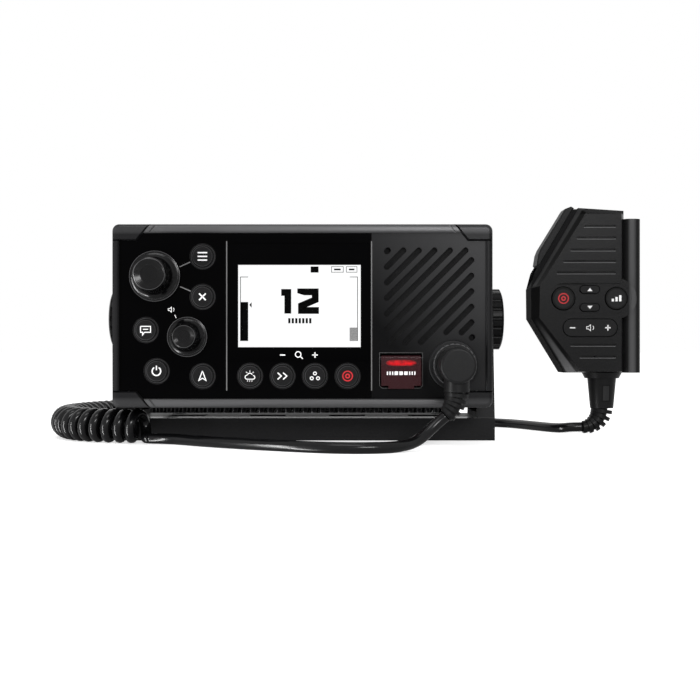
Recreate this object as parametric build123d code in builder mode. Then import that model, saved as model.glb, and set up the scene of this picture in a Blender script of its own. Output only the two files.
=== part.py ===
from build123d import *
from math import cos, pi, radians, sin, sqrt, tan
import os

# Fixed-mount VHF marine radio: a radio in its gimbal bracket, a curly lead and a fist handset.
# Millimetres. X runs to the right, Y runs back from the pivot axis and Z runs up from the surface
# that the bracket stands on. X = 0 is the middle of the radio, Y = 0 is the pivot axis.

os.makedirs("parts", exist_ok=True)

# ---------------------------------------------------------------- driving dimensions
RUNNING = 0.05  # radial clearance of a shaft in its bore
SEAM = 0.15  # visible gap between two mouldings of one body
KEY_GAP = 0.3  # gap around a moving key

PIVOT_HEIGHT = 71.0

# radio
FASCIA_WIDTH = 206.4
FASCIA_HEIGHT = 99.6
FASCIA_DEPTH = 24.0
FASCIA_FRONT = 70.0  # pivot axis to the front of the rails
FASCIA_CORNER = 3.8
RAIL_HEIGHT = 4.9
SIDE_RAIL = 3.9
PANEL_RECESS = 1.5
RAIL_ROUND = 1.35
FASCIA_WALL = 2.6
CAP_DEPTH = 2.6
CAP_HEIGHT = 9.2
CAP_LONG = 21.8
CAP_SHORT = 13.6
CAP_GROOVE = 0.9
CAP_GROOVE_GAP = 2.6
FASCIA_SCREW_INSET = (8.5, 6.2)
GASKET = 1.0
HOUSING_WIDTH = 191.0
HOUSING_HEIGHT = 92.0
HOUSING_BACK = 56.0
HOUSING_WALL = 3.0
FLANGE_THICK = 4.0
PIVOT_BOSS = 14.0
PIVOT_BOSS_PROUD = 3.2
PIVOT_WASHER = 0.8

# bracket
BRACKET_DEPTH = 54.0
BRACKET_BASE = 13.0
BRACKET_SKIN = 3.2
ARM_THICK = 10.3
ARM_END = 18.0
BRACKET_WIDTH = HOUSING_WIDTH + 2 * (PIVOT_BOSS_PROUD + PIVOT_WASHER + ARM_THICK)
BOLT_INSET = (29.8, 10.0)  # bolt holes from the ends and sides of the base
BRACKET_RIBS = 5
DECK_WINDOW = (22.0, 14.0)
BOLT_HOLE = 2.6
CLAMP_KNOB = 18.2
CLAMP_KNOB_THICK = 6.9
STUD = 2.5

# front panel places, measured from the pivot axis: (X, Z)
CHANNEL_PLACE = (-79.8, 21.4)
VOLUME_PLACE = (-62.2, -11.4)
SOCKET_PLACE = (81.8, -26.6)
SPEAKER_PLACE = (68.8, 11.0)
DISTRESS_PLACE = (53.5, -29.6)
LCD_PLACE = (-1.7, 5.4)
LENS_PLACE = (-1.8, 7.4)
PANEL_KEYS = {
    "menu_key": (-54.1, 32.2),
    "cancel_key": (-54.1, 10.3),
    "navigation_key": (-54.1, -32.7),
    "intercom_key": (-84.9, -7.7),
    "power_key": (-79.0, -30.0),
    "weather_key": (-28.4, -32.6),
    "scan_key": (-10.8, -32.6),
    "triple_watch_key": (6.8, -32.6),
    "calling_channel_key": (24.5, -32.6),
}
KEY_RING = 6.9
KEY_CAP = 5.6
KEY_PROUD = 1.0
KEY_TRAVEL = 0.7

LENS_SIZE = (75.8, 63.8)
LENS_THICK = 1.6
LCD_SIZE = (66.6, 44.7)

GRILLE_LOW = (44.2, -15.8)
GRILLE_HIGH = (93.4, 37.2)
SLOT_WIDTH = 3.2
SLOT_PITCH = 8.44  # along X
SLOT_FIRST = 10.8
SLOT_COUNT = 12
SOCKET_CLEAR = 16.6

# handset, from the middle of its bottom edge
HANDSET_X = 184.6
HANDSET_MIDDLE = 30.0  # its parting plane, behind the pivot axis
HANDSET_BOTTOM = 38.4
HANDSET_FRONT = 16.0  # parting plane to the front face
HANDSET_BACK = 16.0
HANDSET_BEVEL = 7.0
HANDSET_WALL = 2.5
HANDSET_KEYS = {
    "handset_calling_key": (-27.1, 45.9, 7.2),
    "handset_power_level_key": (5.6, 45.9, 6.9),
}
CHANNEL_PILLS = {
    "handset_channel_up_key": (-10.8, 51.4),
    "handset_channel_down_key": (-10.8, 40.4),
}
PILL_SIZE = (12.2, 5.0)
ROCKER_PLACE = (-10.7, 27.8)
ROCKER_SIZE = (33.5, 10.9)

# lead
WIRE = 6.0
COIL_OUTER = 19.6

# ---------------------------------------------------------------- planes
panel_front = FASCIA_FRONT - PANEL_RECESS
panel_back = panel_front - FASCIA_WALL
fascia_back = FASCIA_FRONT - FASCIA_DEPTH
housing_front = fascia_back - GASKET


def ahead(distance):
    """Plane facing forwards, this far in front of the pivot axis, its origin on that axis."""
    return Plane(origin=(0, -distance, PIVOT_HEIGHT), x_dir=(1, 0, 0), z_dir=(0, -1, 0))


def handset_plane(distance):
    """Plane facing forwards, this far in front of the handset's parting plane."""
    origin = (HANDSET_X, HANDSET_MIDDLE - distance, HANDSET_BOTTOM)
    return Plane(origin=origin, x_dir=(1, 0, 0), z_dir=(0, -1, 0))


def side_plane(x):
    """Plane facing +X at x, its origin on the pivot axis: local x is Y and local y is Z."""
    return Plane(origin=(x, 0, PIVOT_HEIGHT), x_dir=(0, 1, 0), z_dir=(1, 0, 0))


# ---------------------------------------------------------------- bracket
arm_outer = BRACKET_WIDTH / 2
arm_inner = arm_outer - ARM_THICK
bolt_spacing = (BRACKET_WIDTH - 2 * BOLT_INSET[0], BRACKET_DEPTH - 2 * BOLT_INSET[1])
rib_pitch = bolt_spacing[0] * 0.3
stud_hole = STUD + 0.4

with BuildPart() as bracket:
    with BuildSketch(Plane.XY):
        RectangleRounded(BRACKET_WIDTH, BRACKET_DEPTH, 3)
    extrude(amount=BRACKET_BASE)
    for side in (-1, 1):
        with BuildSketch(side_plane(side * (arm_outer - ARM_THICK / 2))):
            with Locations((0, BRACKET_BASE / 2 - PIVOT_HEIGHT)):
                Rectangle(BRACKET_DEPTH, BRACKET_BASE)
            Circle(ARM_END)
            make_hull()
        extrude(amount=ARM_THICK / 2, both=True)
    # the inner side of each arm is hollowed to a rim and a round boss
    for side in (-1, 1):
        with BuildSketch(side_plane(side * (arm_inner + (ARM_THICK - BRACKET_SKIN) / 2))):
            with Locations((0, BRACKET_BASE + 4 - PIVOT_HEIGHT)):
                Rectangle(BRACKET_DEPTH - 2 * BRACKET_SKIN, 2)
            Circle(ARM_END - BRACKET_SKIN)
            make_hull()
            Circle(PIVOT_BOSS - 2, mode=Mode.SUBTRACT)
        extrude(amount=(ARM_THICK - BRACKET_SKIN) / 2, both=True, mode=Mode.SUBTRACT)
    # underside hollow, with ribs across it and a post at each bolt
    with BuildSketch(Plane.XY):
        Rectangle(BRACKET_WIDTH - 2 * BRACKET_SKIN, BRACKET_DEPTH - 2 * BRACKET_SKIN)
    extrude(amount=BRACKET_BASE - BRACKET_SKIN, mode=Mode.SUBTRACT)
    with BuildSketch(Plane.XY):
        with GridLocations(rib_pitch, 1, BRACKET_RIBS, 1):
            Rectangle(2.2, BRACKET_DEPTH - BRACKET_SKIN)
        with GridLocations(*bolt_spacing, 2, 2):
            Circle(BOLT_HOLE + 3)
    extrude(amount=BRACKET_BASE - BRACKET_SKIN / 2)
    # windows in the deck, one in each outer bay between the ribs
    with Locations(*[(rib_pitch * bay, 0, BRACKET_BASE) for bay in (-1.5, -0.5, 0.5, 1.5)]):
        Box(*DECK_WINDOW, 3 * BRACKET_SKIN, mode=Mode.SUBTRACT)
    with Locations((0, 0, BRACKET_BASE)):
        with GridLocations(*bolt_spacing, 2, 2):
            CounterBoreHole(BOLT_HOLE, BOLT_HOLE + 2, 1.6)
    for side in (-1, 1):
        with BuildSketch(side_plane(side * arm_outer)):
            Circle(stud_hole)
        extrude(amount=ARM_THICK + 1, both=True, mode=Mode.SUBTRACT)
bracket.part.label = "bracket"
export_step(bracket.part, "parts/bracket.step")

boss_face = HOUSING_WIDTH / 2 + PIVOT_BOSS_PROUD

with BuildPart() as pivot_washers:
    for side in (-1, 1):
        with BuildSketch(side_plane(side * (arm_inner + boss_face) / 2)):
            Circle(PIVOT_BOSS - 2.2)
            Circle(stud_hole, mode=Mode.SUBTRACT)
        extrude(amount=(arm_inner - boss_face) / 2, both=True)
pivot_washers.part.label = "pivot_washers"
export_step(pivot_washers.part, "parts/pivot_washers.step")

# clamp knob: a domed disc with grip flutes round it, and the stud that screws into the radio
knob_seat = arm_outer + 0.2
knob_rim = knob_seat + CLAMP_KNOB_THICK * 0.78
knob_top = knob_seat + CLAMP_KNOB_THICK
stud_end = HOUSING_WIDTH / 2 - 8.0

for side, name in ((-1, "left_clamp_knob"), (1, "right_clamp_knob")):
    with BuildPart() as clamp_knob:
        with BuildSketch(Plane(origin=(0, 0, PIVOT_HEIGHT), x_dir=(side, 0, 0), z_dir=(0, -side, 0))):
            with BuildLine():
                Polyline((stud_end, 0), (stud_end, STUD), (knob_seat, STUD), (knob_seat, CLAMP_KNOB),
                         (knob_rim, CLAMP_KNOB))
                ThreePointArc((knob_rim, CLAMP_KNOB), (knob_top - 0.35, CLAMP_KNOB * 0.87), (knob_top, 12))
                Polyline((knob_top, 12), (knob_top - 0.8, 10.5), (knob_top - 0.8, 0), (stud_end, 0))
            make_face()
        revolve(axis=Axis((0, 0, PIVOT_HEIGHT), (1, 0, 0)))
        with BuildSketch(side_plane(side * knob_seat)):
            with PolarLocations(CLAMP_KNOB + 0.5, 20):
                Circle(1.4)
        extrude(amount=side * (knob_rim - knob_seat), mode=Mode.SUBTRACT)
    clamp_knob.part.label = name
    export_step(clamp_knob.part, f"parts/{name}.step")

# ---------------------------------------------------------------- fascia
screw_places = [
    (sx * (FASCIA_WIDTH / 2 - FASCIA_SCREW_INSET[0]), sz * (FASCIA_HEIGHT / 2 - FASCIA_SCREW_INSET[1]))
    for sx in (-1, 1)
    for sz in (-1, 1)
]
SCREW_SHANK = 1.5
SCREW_HEAD = 2.9
SCREW_HEAD_DEEP = 2.0
SCREW_BOSS = 4.2

with BuildPart() as fascia_blank:
    with BuildSketch(ahead(FASCIA_FRONT)):
        RectangleRounded(FASCIA_WIDTH, FASCIA_HEIGHT, FASCIA_CORNER)
    extrude(amount=-FASCIA_DEPTH)
    fillet(fascia_blank.faces().sort_by(Axis.Y)[0].edges(), 2.4)


def corner_outlines(gap):
    """Corners of the four slanted corner pieces, smaller by the gap on their two inner sides."""
    x, z = FASCIA_WIDTH / 2 + 1, FASCIA_HEIGHT / 2 + 1
    low = FASCIA_HEIGHT / 2 - CAP_HEIGHT + gap
    top = FASCIA_WIDTH / 2 - CAP_LONG + 1.2 * gap
    bottom = FASCIA_WIDTH / 2 - CAP_SHORT + 1.2 * gap
    outline = [(x, z), (x, low), (bottom, low), (top, z)]
    return [[(sx * px, sz * pz) for px, pz in outline] for sx in (-1, 1) for sz in (-1, 1)]


def rail_grooves():
    """Corners of the groove that runs across the rail beside each corner piece."""
    high, low = FASCIA_HEIGHT / 2 + 1, FASCIA_HEIGHT / 2 - RAIL_HEIGHT
    lean = (CAP_LONG - CAP_SHORT) / (CAP_HEIGHT + 1)
    start = FASCIA_WIDTH / 2 - CAP_LONG - CAP_GROOVE_GAP
    end = start + lean * (high - low)
    outline = [(start, high), (start - 0.9, high), (end - 0.9, low), (end, low)]
    return [[(sx * px, sz * pz) for px, pz in outline] for sx in (-1, 1) for sz in (-1, 1)]


def slot_spans():
    """Centre and length of each slanted slot, kept inside its field and clear of the socket."""
    half = SLOT_WIDTH / 2
    spans = []
    for number in range(SLOT_COUNT):
        offset = SLOT_FIRST + SLOT_PITCH * number
        low = max(GRILLE_LOW[0] + half, GRILLE_LOW[1] + half + offset)
        high = min(GRILLE_HIGH[0] - half, GRILLE_HIGH[1] - half + offset)
        # the foot of the socket's centre on the slot's line, and the half chord it hides
        foot = (SOCKET_PLACE[0] + SOCKET_PLACE[1] + offset) / 2
        away = abs(SOCKET_PLACE[0] - SOCKET_PLACE[1] - offset) / sqrt(2)
        if away < SOCKET_CLEAR + half:
            low = max(low, foot + sqrt(((SOCKET_CLEAR + half) ** 2 - away**2) / 2))
        spans.append(((low + high) / 2, (low + high) / 2 - offset, max(high - low, 0.4) * sqrt(2)))
    return spans


WELL_SIZE = (23.0, 18.8)
WELL_DEEP = 6.0
WELL_WALL = 1.5
SOCKET_BARREL = 8.0
BUSHING = 4.5
KEY_FLANGE = 7.9
BOARD_POSTS = ((-91, 35), (-91, -19), (38.4, 35), (38.4, -14))
BOARD_FRONT = 57.0  # front face of the front board, ahead of the pivot axis
BOARD_THICK = 1.6

with BuildPart() as front_fascia:
    add(fascia_blank.part)
    # sunk panel between the rails
    with BuildSketch(ahead(FASCIA_FRONT)):
        RectangleRounded(FASCIA_WIDTH - 2 * SIDE_RAIL, FASCIA_HEIGHT - 2 * RAIL_HEIGHT, 1.5)
    extrude(amount=-PANEL_RECESS, mode=Mode.SUBTRACT)
    fillet(front_fascia.faces().sort_by(Axis.Y)[0].inner_wires()[0].edges(), RAIL_ROUND)
    # hollow behind, with screw bosses, board posts and the walls of the distress key's well
    with BuildSketch(ahead(fascia_back)):
        RectangleRounded(FASCIA_WIDTH - 2 * FASCIA_WALL, FASCIA_HEIGHT - 2 * FASCIA_WALL, 2)
    extrude(amount=panel_back - fascia_back, mode=Mode.SUBTRACT)
    with BuildSketch(ahead(fascia_back)):
        with Locations(*screw_places):
            Circle(SCREW_BOSS)
    extrude(amount=panel_back - fascia_back)
    with BuildSketch(ahead(BOARD_FRONT)):
        with Locations(*BOARD_POSTS):
            Circle(2.3)
    extrude(amount=panel_back - BOARD_FRONT)
    with BuildSketch(ahead(panel_front - WELL_DEEP - WELL_WALL)):
        with Locations(DISTRESS_PLACE):
            Rectangle(WELL_SIZE[0] + 2 * WELL_WALL, WELL_SIZE[1] + 2 * WELL_WALL)
    extrude(amount=WELL_DEEP + WELL_WALL - FASCIA_WALL / 2)
    with BuildSketch(ahead(panel_front)):
        with Locations(DISTRESS_PLACE):
            RectangleRounded(*WELL_SIZE, 1)
    extrude(amount=-WELL_DEEP, mode=Mode.SUBTRACT)
    # corner notches for the caps, with sunk screw seats
    with BuildSketch(ahead(FASCIA_FRONT)):
        for outline in corner_outlines(0):
            Polygon(*outline, align=None)
    extrude(amount=-CAP_DEPTH, mode=Mode.SUBTRACT)
    with BuildSketch(ahead(FASCIA_FRONT)):
        for outline in rail_grooves():
            Polygon(*outline, align=None)
    extrude(amount=-CAP_GROOVE, mode=Mode.SUBTRACT)
    with BuildSketch(ahead(FASCIA_FRONT - CAP_DEPTH)):
        with Locations(*screw_places):
            Circle(SCREW_HEAD + 0.2)
    extrude(amount=-SCREW_HEAD_DEEP, mode=Mode.SUBTRACT)
    with BuildSketch(ahead(FASCIA_FRONT)):
        with Locations(*screw_places):
            Circle(SCREW_SHANK + 0.2)
    extrude(amount=-FASCIA_DEPTH, mode=Mode.SUBTRACT)
    # lens seat and display opening
    with BuildSketch(ahead(panel_front)):
        with Locations(LENS_PLACE):
            RectangleRounded(LENS_SIZE[0] + 2 * SEAM, LENS_SIZE[1] + 2 * SEAM, 1)
    extrude(amount=-LENS_THICK, mode=Mode.SUBTRACT)
    # openings for keys, encoders, socket, slots and the distress key's stem
    with BuildSketch(ahead(panel_front)):
        with Locations(LCD_PLACE):
            Rectangle(LCD_SIZE[0] + 1.6, LCD_SIZE[1] + 1.6)
        with Locations(*PANEL_KEYS.values()):
            Circle(KEY_RING)
        with Locations(CHANNEL_PLACE, VOLUME_PLACE):
            Circle(BUSHING + 0.1)
        with Locations(SOCKET_PLACE):
            Circle(SOCKET_BARREL + 0.6)
        for slot_x, slot_z, slot_length in slot_spans():
            with Locations(Location((slot_x, slot_z), 45)):
                SlotCenterToCenter(slot_length, SLOT_WIDTH)
    extrude(amount=-(FASCIA_WALL + 0.5), mode=Mode.SUBTRACT)
    with BuildSketch(ahead(panel_front)):
        with Locations(DISTRESS_PLACE):
            Circle(3.4)
    extrude(amount=-(WELL_DEEP + 2 * WELL_WALL), mode=Mode.SUBTRACT)
front_fascia.part.label = "front_fascia"
export_step(front_fascia.part, "parts/front_fascia.step")

with BuildPart() as corner_caps:
    add(fascia_blank.part)
    # their inner edges slope back
    with BuildSketch(ahead(FASCIA_FRONT - CAP_DEPTH)):
        for outline in corner_outlines(SEAM):
            Polygon(*outline, align=None)
    extrude(amount=CAP_DEPTH, taper=18, mode=Mode.INTERSECT)
corner_caps.part.label = "corner_caps"
export_step(corner_caps.part, "parts/corner_caps.step")

with BuildPart() as fascia_screws:
    head_top = FASCIA_FRONT - CAP_DEPTH - 0.3
    with BuildSketch(ahead(head_top)):
        with Locations(*screw_places):
            Circle(SCREW_HEAD)
    extrude(amount=-(SCREW_HEAD_DEEP - 0.3))
    with BuildSketch(ahead(head_top)):
        with Locations(*screw_places):
            Circle(SCREW_SHANK)
    extrude(amount=-(head_top - housing_front + FLANGE_THICK + 6))
    with BuildSketch(ahead(head_top)):
        with Locations(*screw_places):
            RegularPolygon(1.4, 6)
    extrude(amount=-1, mode=Mode.SUBTRACT)
fascia_screws.part.label = "fascia_screws"
export_step(fascia_screws.part, "parts/fascia_screws.step")

# ---------------------------------------------------------------- display
with BuildPart() as display_window:
    with BuildSketch(ahead(panel_front)):
        with Locations(LENS_PLACE):
            RectangleRounded(*LENS_SIZE, 1)
    extrude(amount=-LENS_THICK)
display_window.part.label = "display_window"
export_step(display_window.part, "parts/display_window.step")

with BuildPart() as lcd_module:
    with BuildSketch(ahead(panel_front - LENS_THICK)):
        with Locations(LCD_PLACE):
            Rectangle(LCD_SIZE[0] + 1, LCD_SIZE[1] + 1)
    extrude(amount=-(panel_front - LENS_THICK - panel_back))
    with BuildSketch(ahead(panel_back)):
        with Locations(LCD_PLACE):
            Rectangle(LCD_SIZE[0] + 6.4, LCD_SIZE[1] + 7.3)
    extrude(amount=-(panel_back - BOARD_FRONT))
    with BuildSketch(ahead(panel_back)):
        with Locations(LCD_PLACE):
            with GridLocations(LCD_SIZE[0] + 6.4, LCD_SIZE[1], 2, 2):
                Circle(1.6)
    extrude(amount=-(panel_back - BOARD_FRONT) / 2, mode=Mode.SUBTRACT)
lcd_module.part.label = "lcd_module"
export_step(lcd_module.part, "parts/lcd_module.step")

# ---------------------------------------------------------------- encoders, knobs and keys
ENCODER_BODY = 13.0
SHAFT = 3.0
PLATE = 5.0
plate_front = panel_back - 3.6
encoder_cavity_front = panel_back - 2.4
encoder_cavity_back = BOARD_FRONT + 1.4

with BuildPart() as encoders:
    for place in (CHANNEL_PLACE, VOLUME_PLACE):
        with BuildSketch(ahead(BOARD_FRONT)):
            with Locations(place):
                RectangleRounded(ENCODER_BODY, ENCODER_BODY, 1)
        extrude(amount=panel_back - BOARD_FRONT)
        with BuildSketch(ahead(panel_back)):
            with Locations(place):
                Circle(BUSHING)
        extrude(amount=FASCIA_WALL + 0.8)
        with BuildSketch(ahead(encoder_cavity_back)):
            with Locations(place):
                Circle(PLATE + 0.2)
        extrude(amount=encoder_cavity_front - encoder_cavity_back, mode=Mode.SUBTRACT)
        with BuildSketch(ahead(encoder_cavity_back)):
            with Locations(place):
                Circle(SHAFT + RUNNING)
        extrude(amount=FASCIA_FRONT, mode=Mode.SUBTRACT)
encoders.part.label = "encoders"
export_step(encoders.part, "parts/encoders.step")

# big and small turn-and-push knobs: skirt radius, waist radius, crown radius, height
KNOB_FORMS = {
    "channel": (CHANNEL_PLACE, 13.7, 9.3, 8.8, 18.6),
    "volume": (VOLUME_PLACE, 10.8, 7.0, 6.5, 14.4),
}
KNOB_LIFT = 1.1
KNOB_RECESS = 3.2

for name, (place, skirt, waist, crown, height) in KNOB_FORMS.items():
    knob_base = panel_front + KNOB_LIFT
    with BuildPart() as push_plate:
        with BuildSketch(ahead(plate_front)):
            with Locations(place):
                Circle(PLATE)
                Circle(SHAFT + RUNNING, mode=Mode.SUBTRACT)
        extrude(amount=-1)
    push_plate.part.label = f"{name}_push_plate"
    export_step(push_plate.part, f"parts/{name}_push_plate.step")

    with BuildPart() as shaft:
        with BuildSketch(ahead(plate_front - 1.6)):
            with Locations(place):
                Circle(SHAFT)
        extrude(amount=knob_base + height - 4 - plate_front + 1.6)
        with BuildSketch(ahead(knob_base + height - 4)):
            with Locations((place[0], place[1] + SHAFT)):
                Rectangle(2 * SHAFT, 2)
        extrude(amount=-(height - 8), mode=Mode.SUBTRACT)
    shaft.part.label = f"{name}_shaft"
    export_step(shaft.part, f"parts/{name}_shaft.step")

    with BuildPart() as knob:
        knob_axis = Axis((place[0], 0, PIVOT_HEIGHT + place[1]), (0, 1, 0))
        profile_plane = Plane(origin=knob_axis.position, x_dir=(1, 0, 0), z_dir=(0, 0, 1))
        with BuildSketch(profile_plane):
            with BuildLine():
                Polyline((0, -knob_base), (skirt, -knob_base), (skirt, -knob_base - 1.6),
                         (skirt - 1.1, -knob_base - 1.8), (skirt - 1.3, -knob_base - 2.8))
                ThreePointArc(
                    (skirt - 1.3, -knob_base - 2.8),
                    ((skirt + waist) / 2 - 0.9, -knob_base - 4.0),
                    (waist, -knob_base - 0.42 * height),
                )
                Polyline((waist, -knob_base - 0.42 * height), (crown, -knob_base - height + 1.2),
                         (crown - 0.5, -knob_base - height + 0.3), (0.86 * crown, -knob_base - height),
                         (0.55 * crown, -knob_base - height + 0.8), (0, -knob_base - height + 0.8),
                         (0, -knob_base))
            make_face()
        revolve(axis=knob_axis)
        with BuildSketch(ahead(knob_base)):
            with Locations(place):
                Circle(BUSHING + 1.6)
        extrude(amount=KNOB_RECESS, mode=Mode.SUBTRACT)
        add(shaft.part, mode=Mode.SUBTRACT)
        with BuildSketch(ahead(knob_base + 0.42 * height + 1)):
            with Locations(place):
                with PolarLocations(waist + 0.35, 18):
                    Circle(0.8)
        extrude(amount=0.4 * height, mode=Mode.SUBTRACT)
    knob.part.label = f"{name}_knob"
    export_step(knob.part, f"parts/{name}_knob.step")

KEY_STEM_BACK = BOARD_FRONT + 3.3

for name, place in PANEL_KEYS.items():
    with BuildPart() as panel_key:
        with BuildSketch(ahead(panel_back - 0.1)):
            with Locations(place):
                Circle(KEY_FLANGE)
        extrude(amount=-1.2)
        with BuildSketch(ahead(panel_back - 0.1)):
            with Locations(place):
                Circle(KEY_RING - KEY_GAP)
        extrude(amount=FASCIA_WALL - 0.2)
        with BuildSketch(ahead(panel_back)):
            with Locations(place):
                Circle(KEY_CAP)
        extrude(amount=FASCIA_WALL + KEY_PROUD)
        fillet(panel_key.faces().sort_by(Axis.Y)[0].edges(), 0.6)
        with BuildSketch(ahead(KEY_STEM_BACK)):
            with Locations(place):
                Circle(2.4)
        extrude(amount=panel_back - 1.3 - KEY_STEM_BACK)
    panel_key.part.label = name
    export_step(panel_key.part, f"parts/{name}.step")

# ---------------------------------------------------------------- boards behind the panel
board_left, board_right, board_half = -94.0, 41.0, 38.0
BOARD_WING = ((41.0, -39.0), (68.0, -20.0))

with BuildPart() as front_board:
    with BuildSketch(ahead(BOARD_FRONT)):
        with Locations(((board_left + board_right) / 2, 0)):
            Rectangle(board_right - board_left, 2 * board_half)
        with Locations(((BOARD_WING[0][0] + BOARD_WING[1][0]) / 2, (BOARD_WING[0][1] + BOARD_WING[1][1]) / 2)):
            Rectangle(BOARD_WING[1][0] - BOARD_WING[0][0] + 2, BOARD_WING[1][1] - BOARD_WING[0][1])
    extrude(amount=-BOARD_THICK)
front_board.part.label = "front_board"
export_step(front_board.part, "parts/front_board.step")

MAT_THICK = 1.4
DOME = 1.0

with BuildPart() as keypad_mat:
    with BuildSketch(ahead(BOARD_FRONT)):
        with Locations((-69.4, 0)):
            Rectangle(49, 2 * board_half)
        with Locations((-6, -32)):
            Rectangle(80, 12)
        with Locations(CHANNEL_PLACE, VOLUME_PLACE):
            Rectangle(ENCODER_BODY + 0.6, ENCODER_BODY + 0.6, mode=Mode.SUBTRACT)
        with Locations(*BOARD_POSTS):
            Circle(2.7, mode=Mode.SUBTRACT)
        with Locations(LCD_PLACE):
            Rectangle(LCD_SIZE[0] + 7, LCD_SIZE[1] + 8, mode=Mode.SUBTRACT)
    extrude(amount=MAT_THICK)
    with BuildSketch(ahead(BOARD_FRONT + MAT_THICK)):
        with Locations(*PANEL_KEYS.values()):
            Circle(3.6)
    extrude(amount=DOME, taper=25)
keypad_mat.part.label = "keypad_mat"
export_step(keypad_mat.part, "parts/keypad_mat.step")

# ---------------------------------------------------------------- distress key and its flip cover
PIN = 0.8
PIN_BACK = 1.3  # the hinge pin's axis lies this far behind the panel
PIN_Z = DISTRESS_PLACE[1] + WELL_SIZE[1] / 2 - 2.7
COVER_WIDTH = 21.6
COVER_DROP = 15.0
DISTRESS_TRAVEL = 1.0

pin_ahead = panel_front - PIN_BACK
cover_plane = Plane(
    origin=(DISTRESS_PLACE[0], -pin_ahead, PIVOT_HEIGHT + PIN_Z), x_dir=(0, 1, 0), z_dir=(1, 0, 0)
)

with BuildPart() as distress_cover:
    with BuildSketch(cover_plane):
        Circle(1.5)
        with BuildLine():
            Polyline((-1.4, -0.2), (-3.2, -2.8), (-3.2, -COVER_DROP), (-1.8, -COVER_DROP), (-1.8, -3.2),
                     (0.4, -1.3), close=True)
        make_face()
    extrude(amount=COVER_WIDTH / 2, both=True)
    for side in (-1, 1):
        with BuildSketch(cover_plane.offset(side * (COVER_WIDTH / 2 - 0.5))):
            with BuildLine():
                Polyline((-2.5, -2.4), (-2.5, -COVER_DROP), (1.2, -COVER_DROP), (1.2, -2.4), close=True)
            make_face()
        extrude(amount=0.5, both=True)
    with BuildSketch(cover_plane):
        with Locations((-2.5, -COVER_DROP - 0.7)):
            Rectangle(1.4, 1.8)
    extrude(amount=6.9, both=True)
    with BuildSketch(cover_plane):
        Circle(PIN + RUNNING)
    extrude(amount=COVER_WIDTH, both=True, mode=Mode.SUBTRACT)
distress_cover.part.label = "distress_cover"
export_step(distress_cover.part, "parts/distress_cover.step")

with BuildPart() as distress_cover_pin:
    with BuildSketch(cover_plane):
        Circle(PIN)
    extrude(amount=WELL_SIZE[0] / 2, both=True)
distress_cover_pin.part.label = "distress_cover_pin"
export_step(distress_cover_pin.part, "parts/distress_cover_pin.step")

well_floor = panel_front - WELL_DEEP

with BuildPart() as distress_key:
    with BuildSketch(ahead(well_floor + DISTRESS_TRAVEL + 0.3)):
        with Locations((DISTRESS_PLACE[0], DISTRESS_PLACE[1] - 1.2)):
            RectangleRounded(16.5, 10.5, 1.5)
    extrude(amount=2.6)
    fillet(distress_key.faces().sort_by(Axis.Y)[0].edges(), 0.7)
    with BuildSketch(ahead(well_floor + DISTRESS_TRAVEL + 0.3)):
        with Locations(DISTRESS_PLACE):
            Circle(3)
    extrude(amount=-(WELL_WALL + DISTRESS_TRAVEL + 1.5))
    with BuildSketch(ahead(well_floor - WELL_WALL - 0.1)):
        with Locations(DISTRESS_PLACE):
            Circle(4.2)
    extrude(amount=-1)
distress_key.part.label = "distress_key"
export_step(distress_key.part, "parts/distress_key.step")

# ---------------------------------------------------------------- loudspeaker
MESH_THICK = 0.6
mesh_low = (GRILLE_LOW[0] - 2.4, GRILLE_LOW[1] - 1.4)
mesh_high = (GRILLE_HIGH[0] + 2.4, GRILLE_HIGH[1] + 1.6)

with BuildPart() as speaker_mesh:
    with BuildSketch(ahead(panel_back)):
        with Locations(((mesh_low[0] + mesh_high[0]) / 2, (mesh_low[1] + mesh_high[1]) / 2)):
            Rectangle(mesh_high[0] - mesh_low[0], mesh_high[1] - mesh_low[1])
        with Locations(SOCKET_PLACE):
            Circle(SOCKET_BARREL + 4, mode=Mode.SUBTRACT)
    extrude(amount=-MESH_THICK)
speaker_mesh.part.label = "speaker_mesh"
export_step(speaker_mesh.part, "parts/speaker_mesh.step")

SPEAKER_RIM = 26.4
speaker_front = panel_back - MESH_THICK

with BuildPart() as speaker:
    speaker_axis = Axis((SPEAKER_PLACE[0], 0, PIVOT_HEIGHT + SPEAKER_PLACE[1]), (0, 1, 0))
    with BuildSketch(Plane(origin=speaker_axis.position, x_dir=(1, 0, 0), z_dir=(0, 0, 1))):
        with BuildLine():
            Polyline((0, -speaker_front + 7), (7, -speaker_front + 6), (22, -speaker_front + 1.5),
                     (24, -speaker_front), (SPEAKER_RIM, -speaker_front), (SPEAKER_RIM, -speaker_front + 2),
                     (23.5, -speaker_front + 2.4), (13, -speaker_front + 11), (13, -speaker_front + 18),
                     (0, -speaker_front + 18), close=True)
        make_face()
    revolve(axis=speaker_axis)
speaker.part.label = "speaker"
export_step(speaker.part, "parts/speaker.step")

# ---------------------------------------------------------------- microphone socket, plug and collar
SOCKET_FLANGE = 13.4
BARREL_REACH = 8.2
PLUG_NOSE = 6.3
COLLAR = 11.6
ELBOW = 9.5
ELBOW_BACK = panel_front + 10.8
ELBOW_FRONT = panel_front + 30.0
NECK = 6.8
NECK_AHEAD = 89.0
NECK_DROP = 13.9

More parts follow.
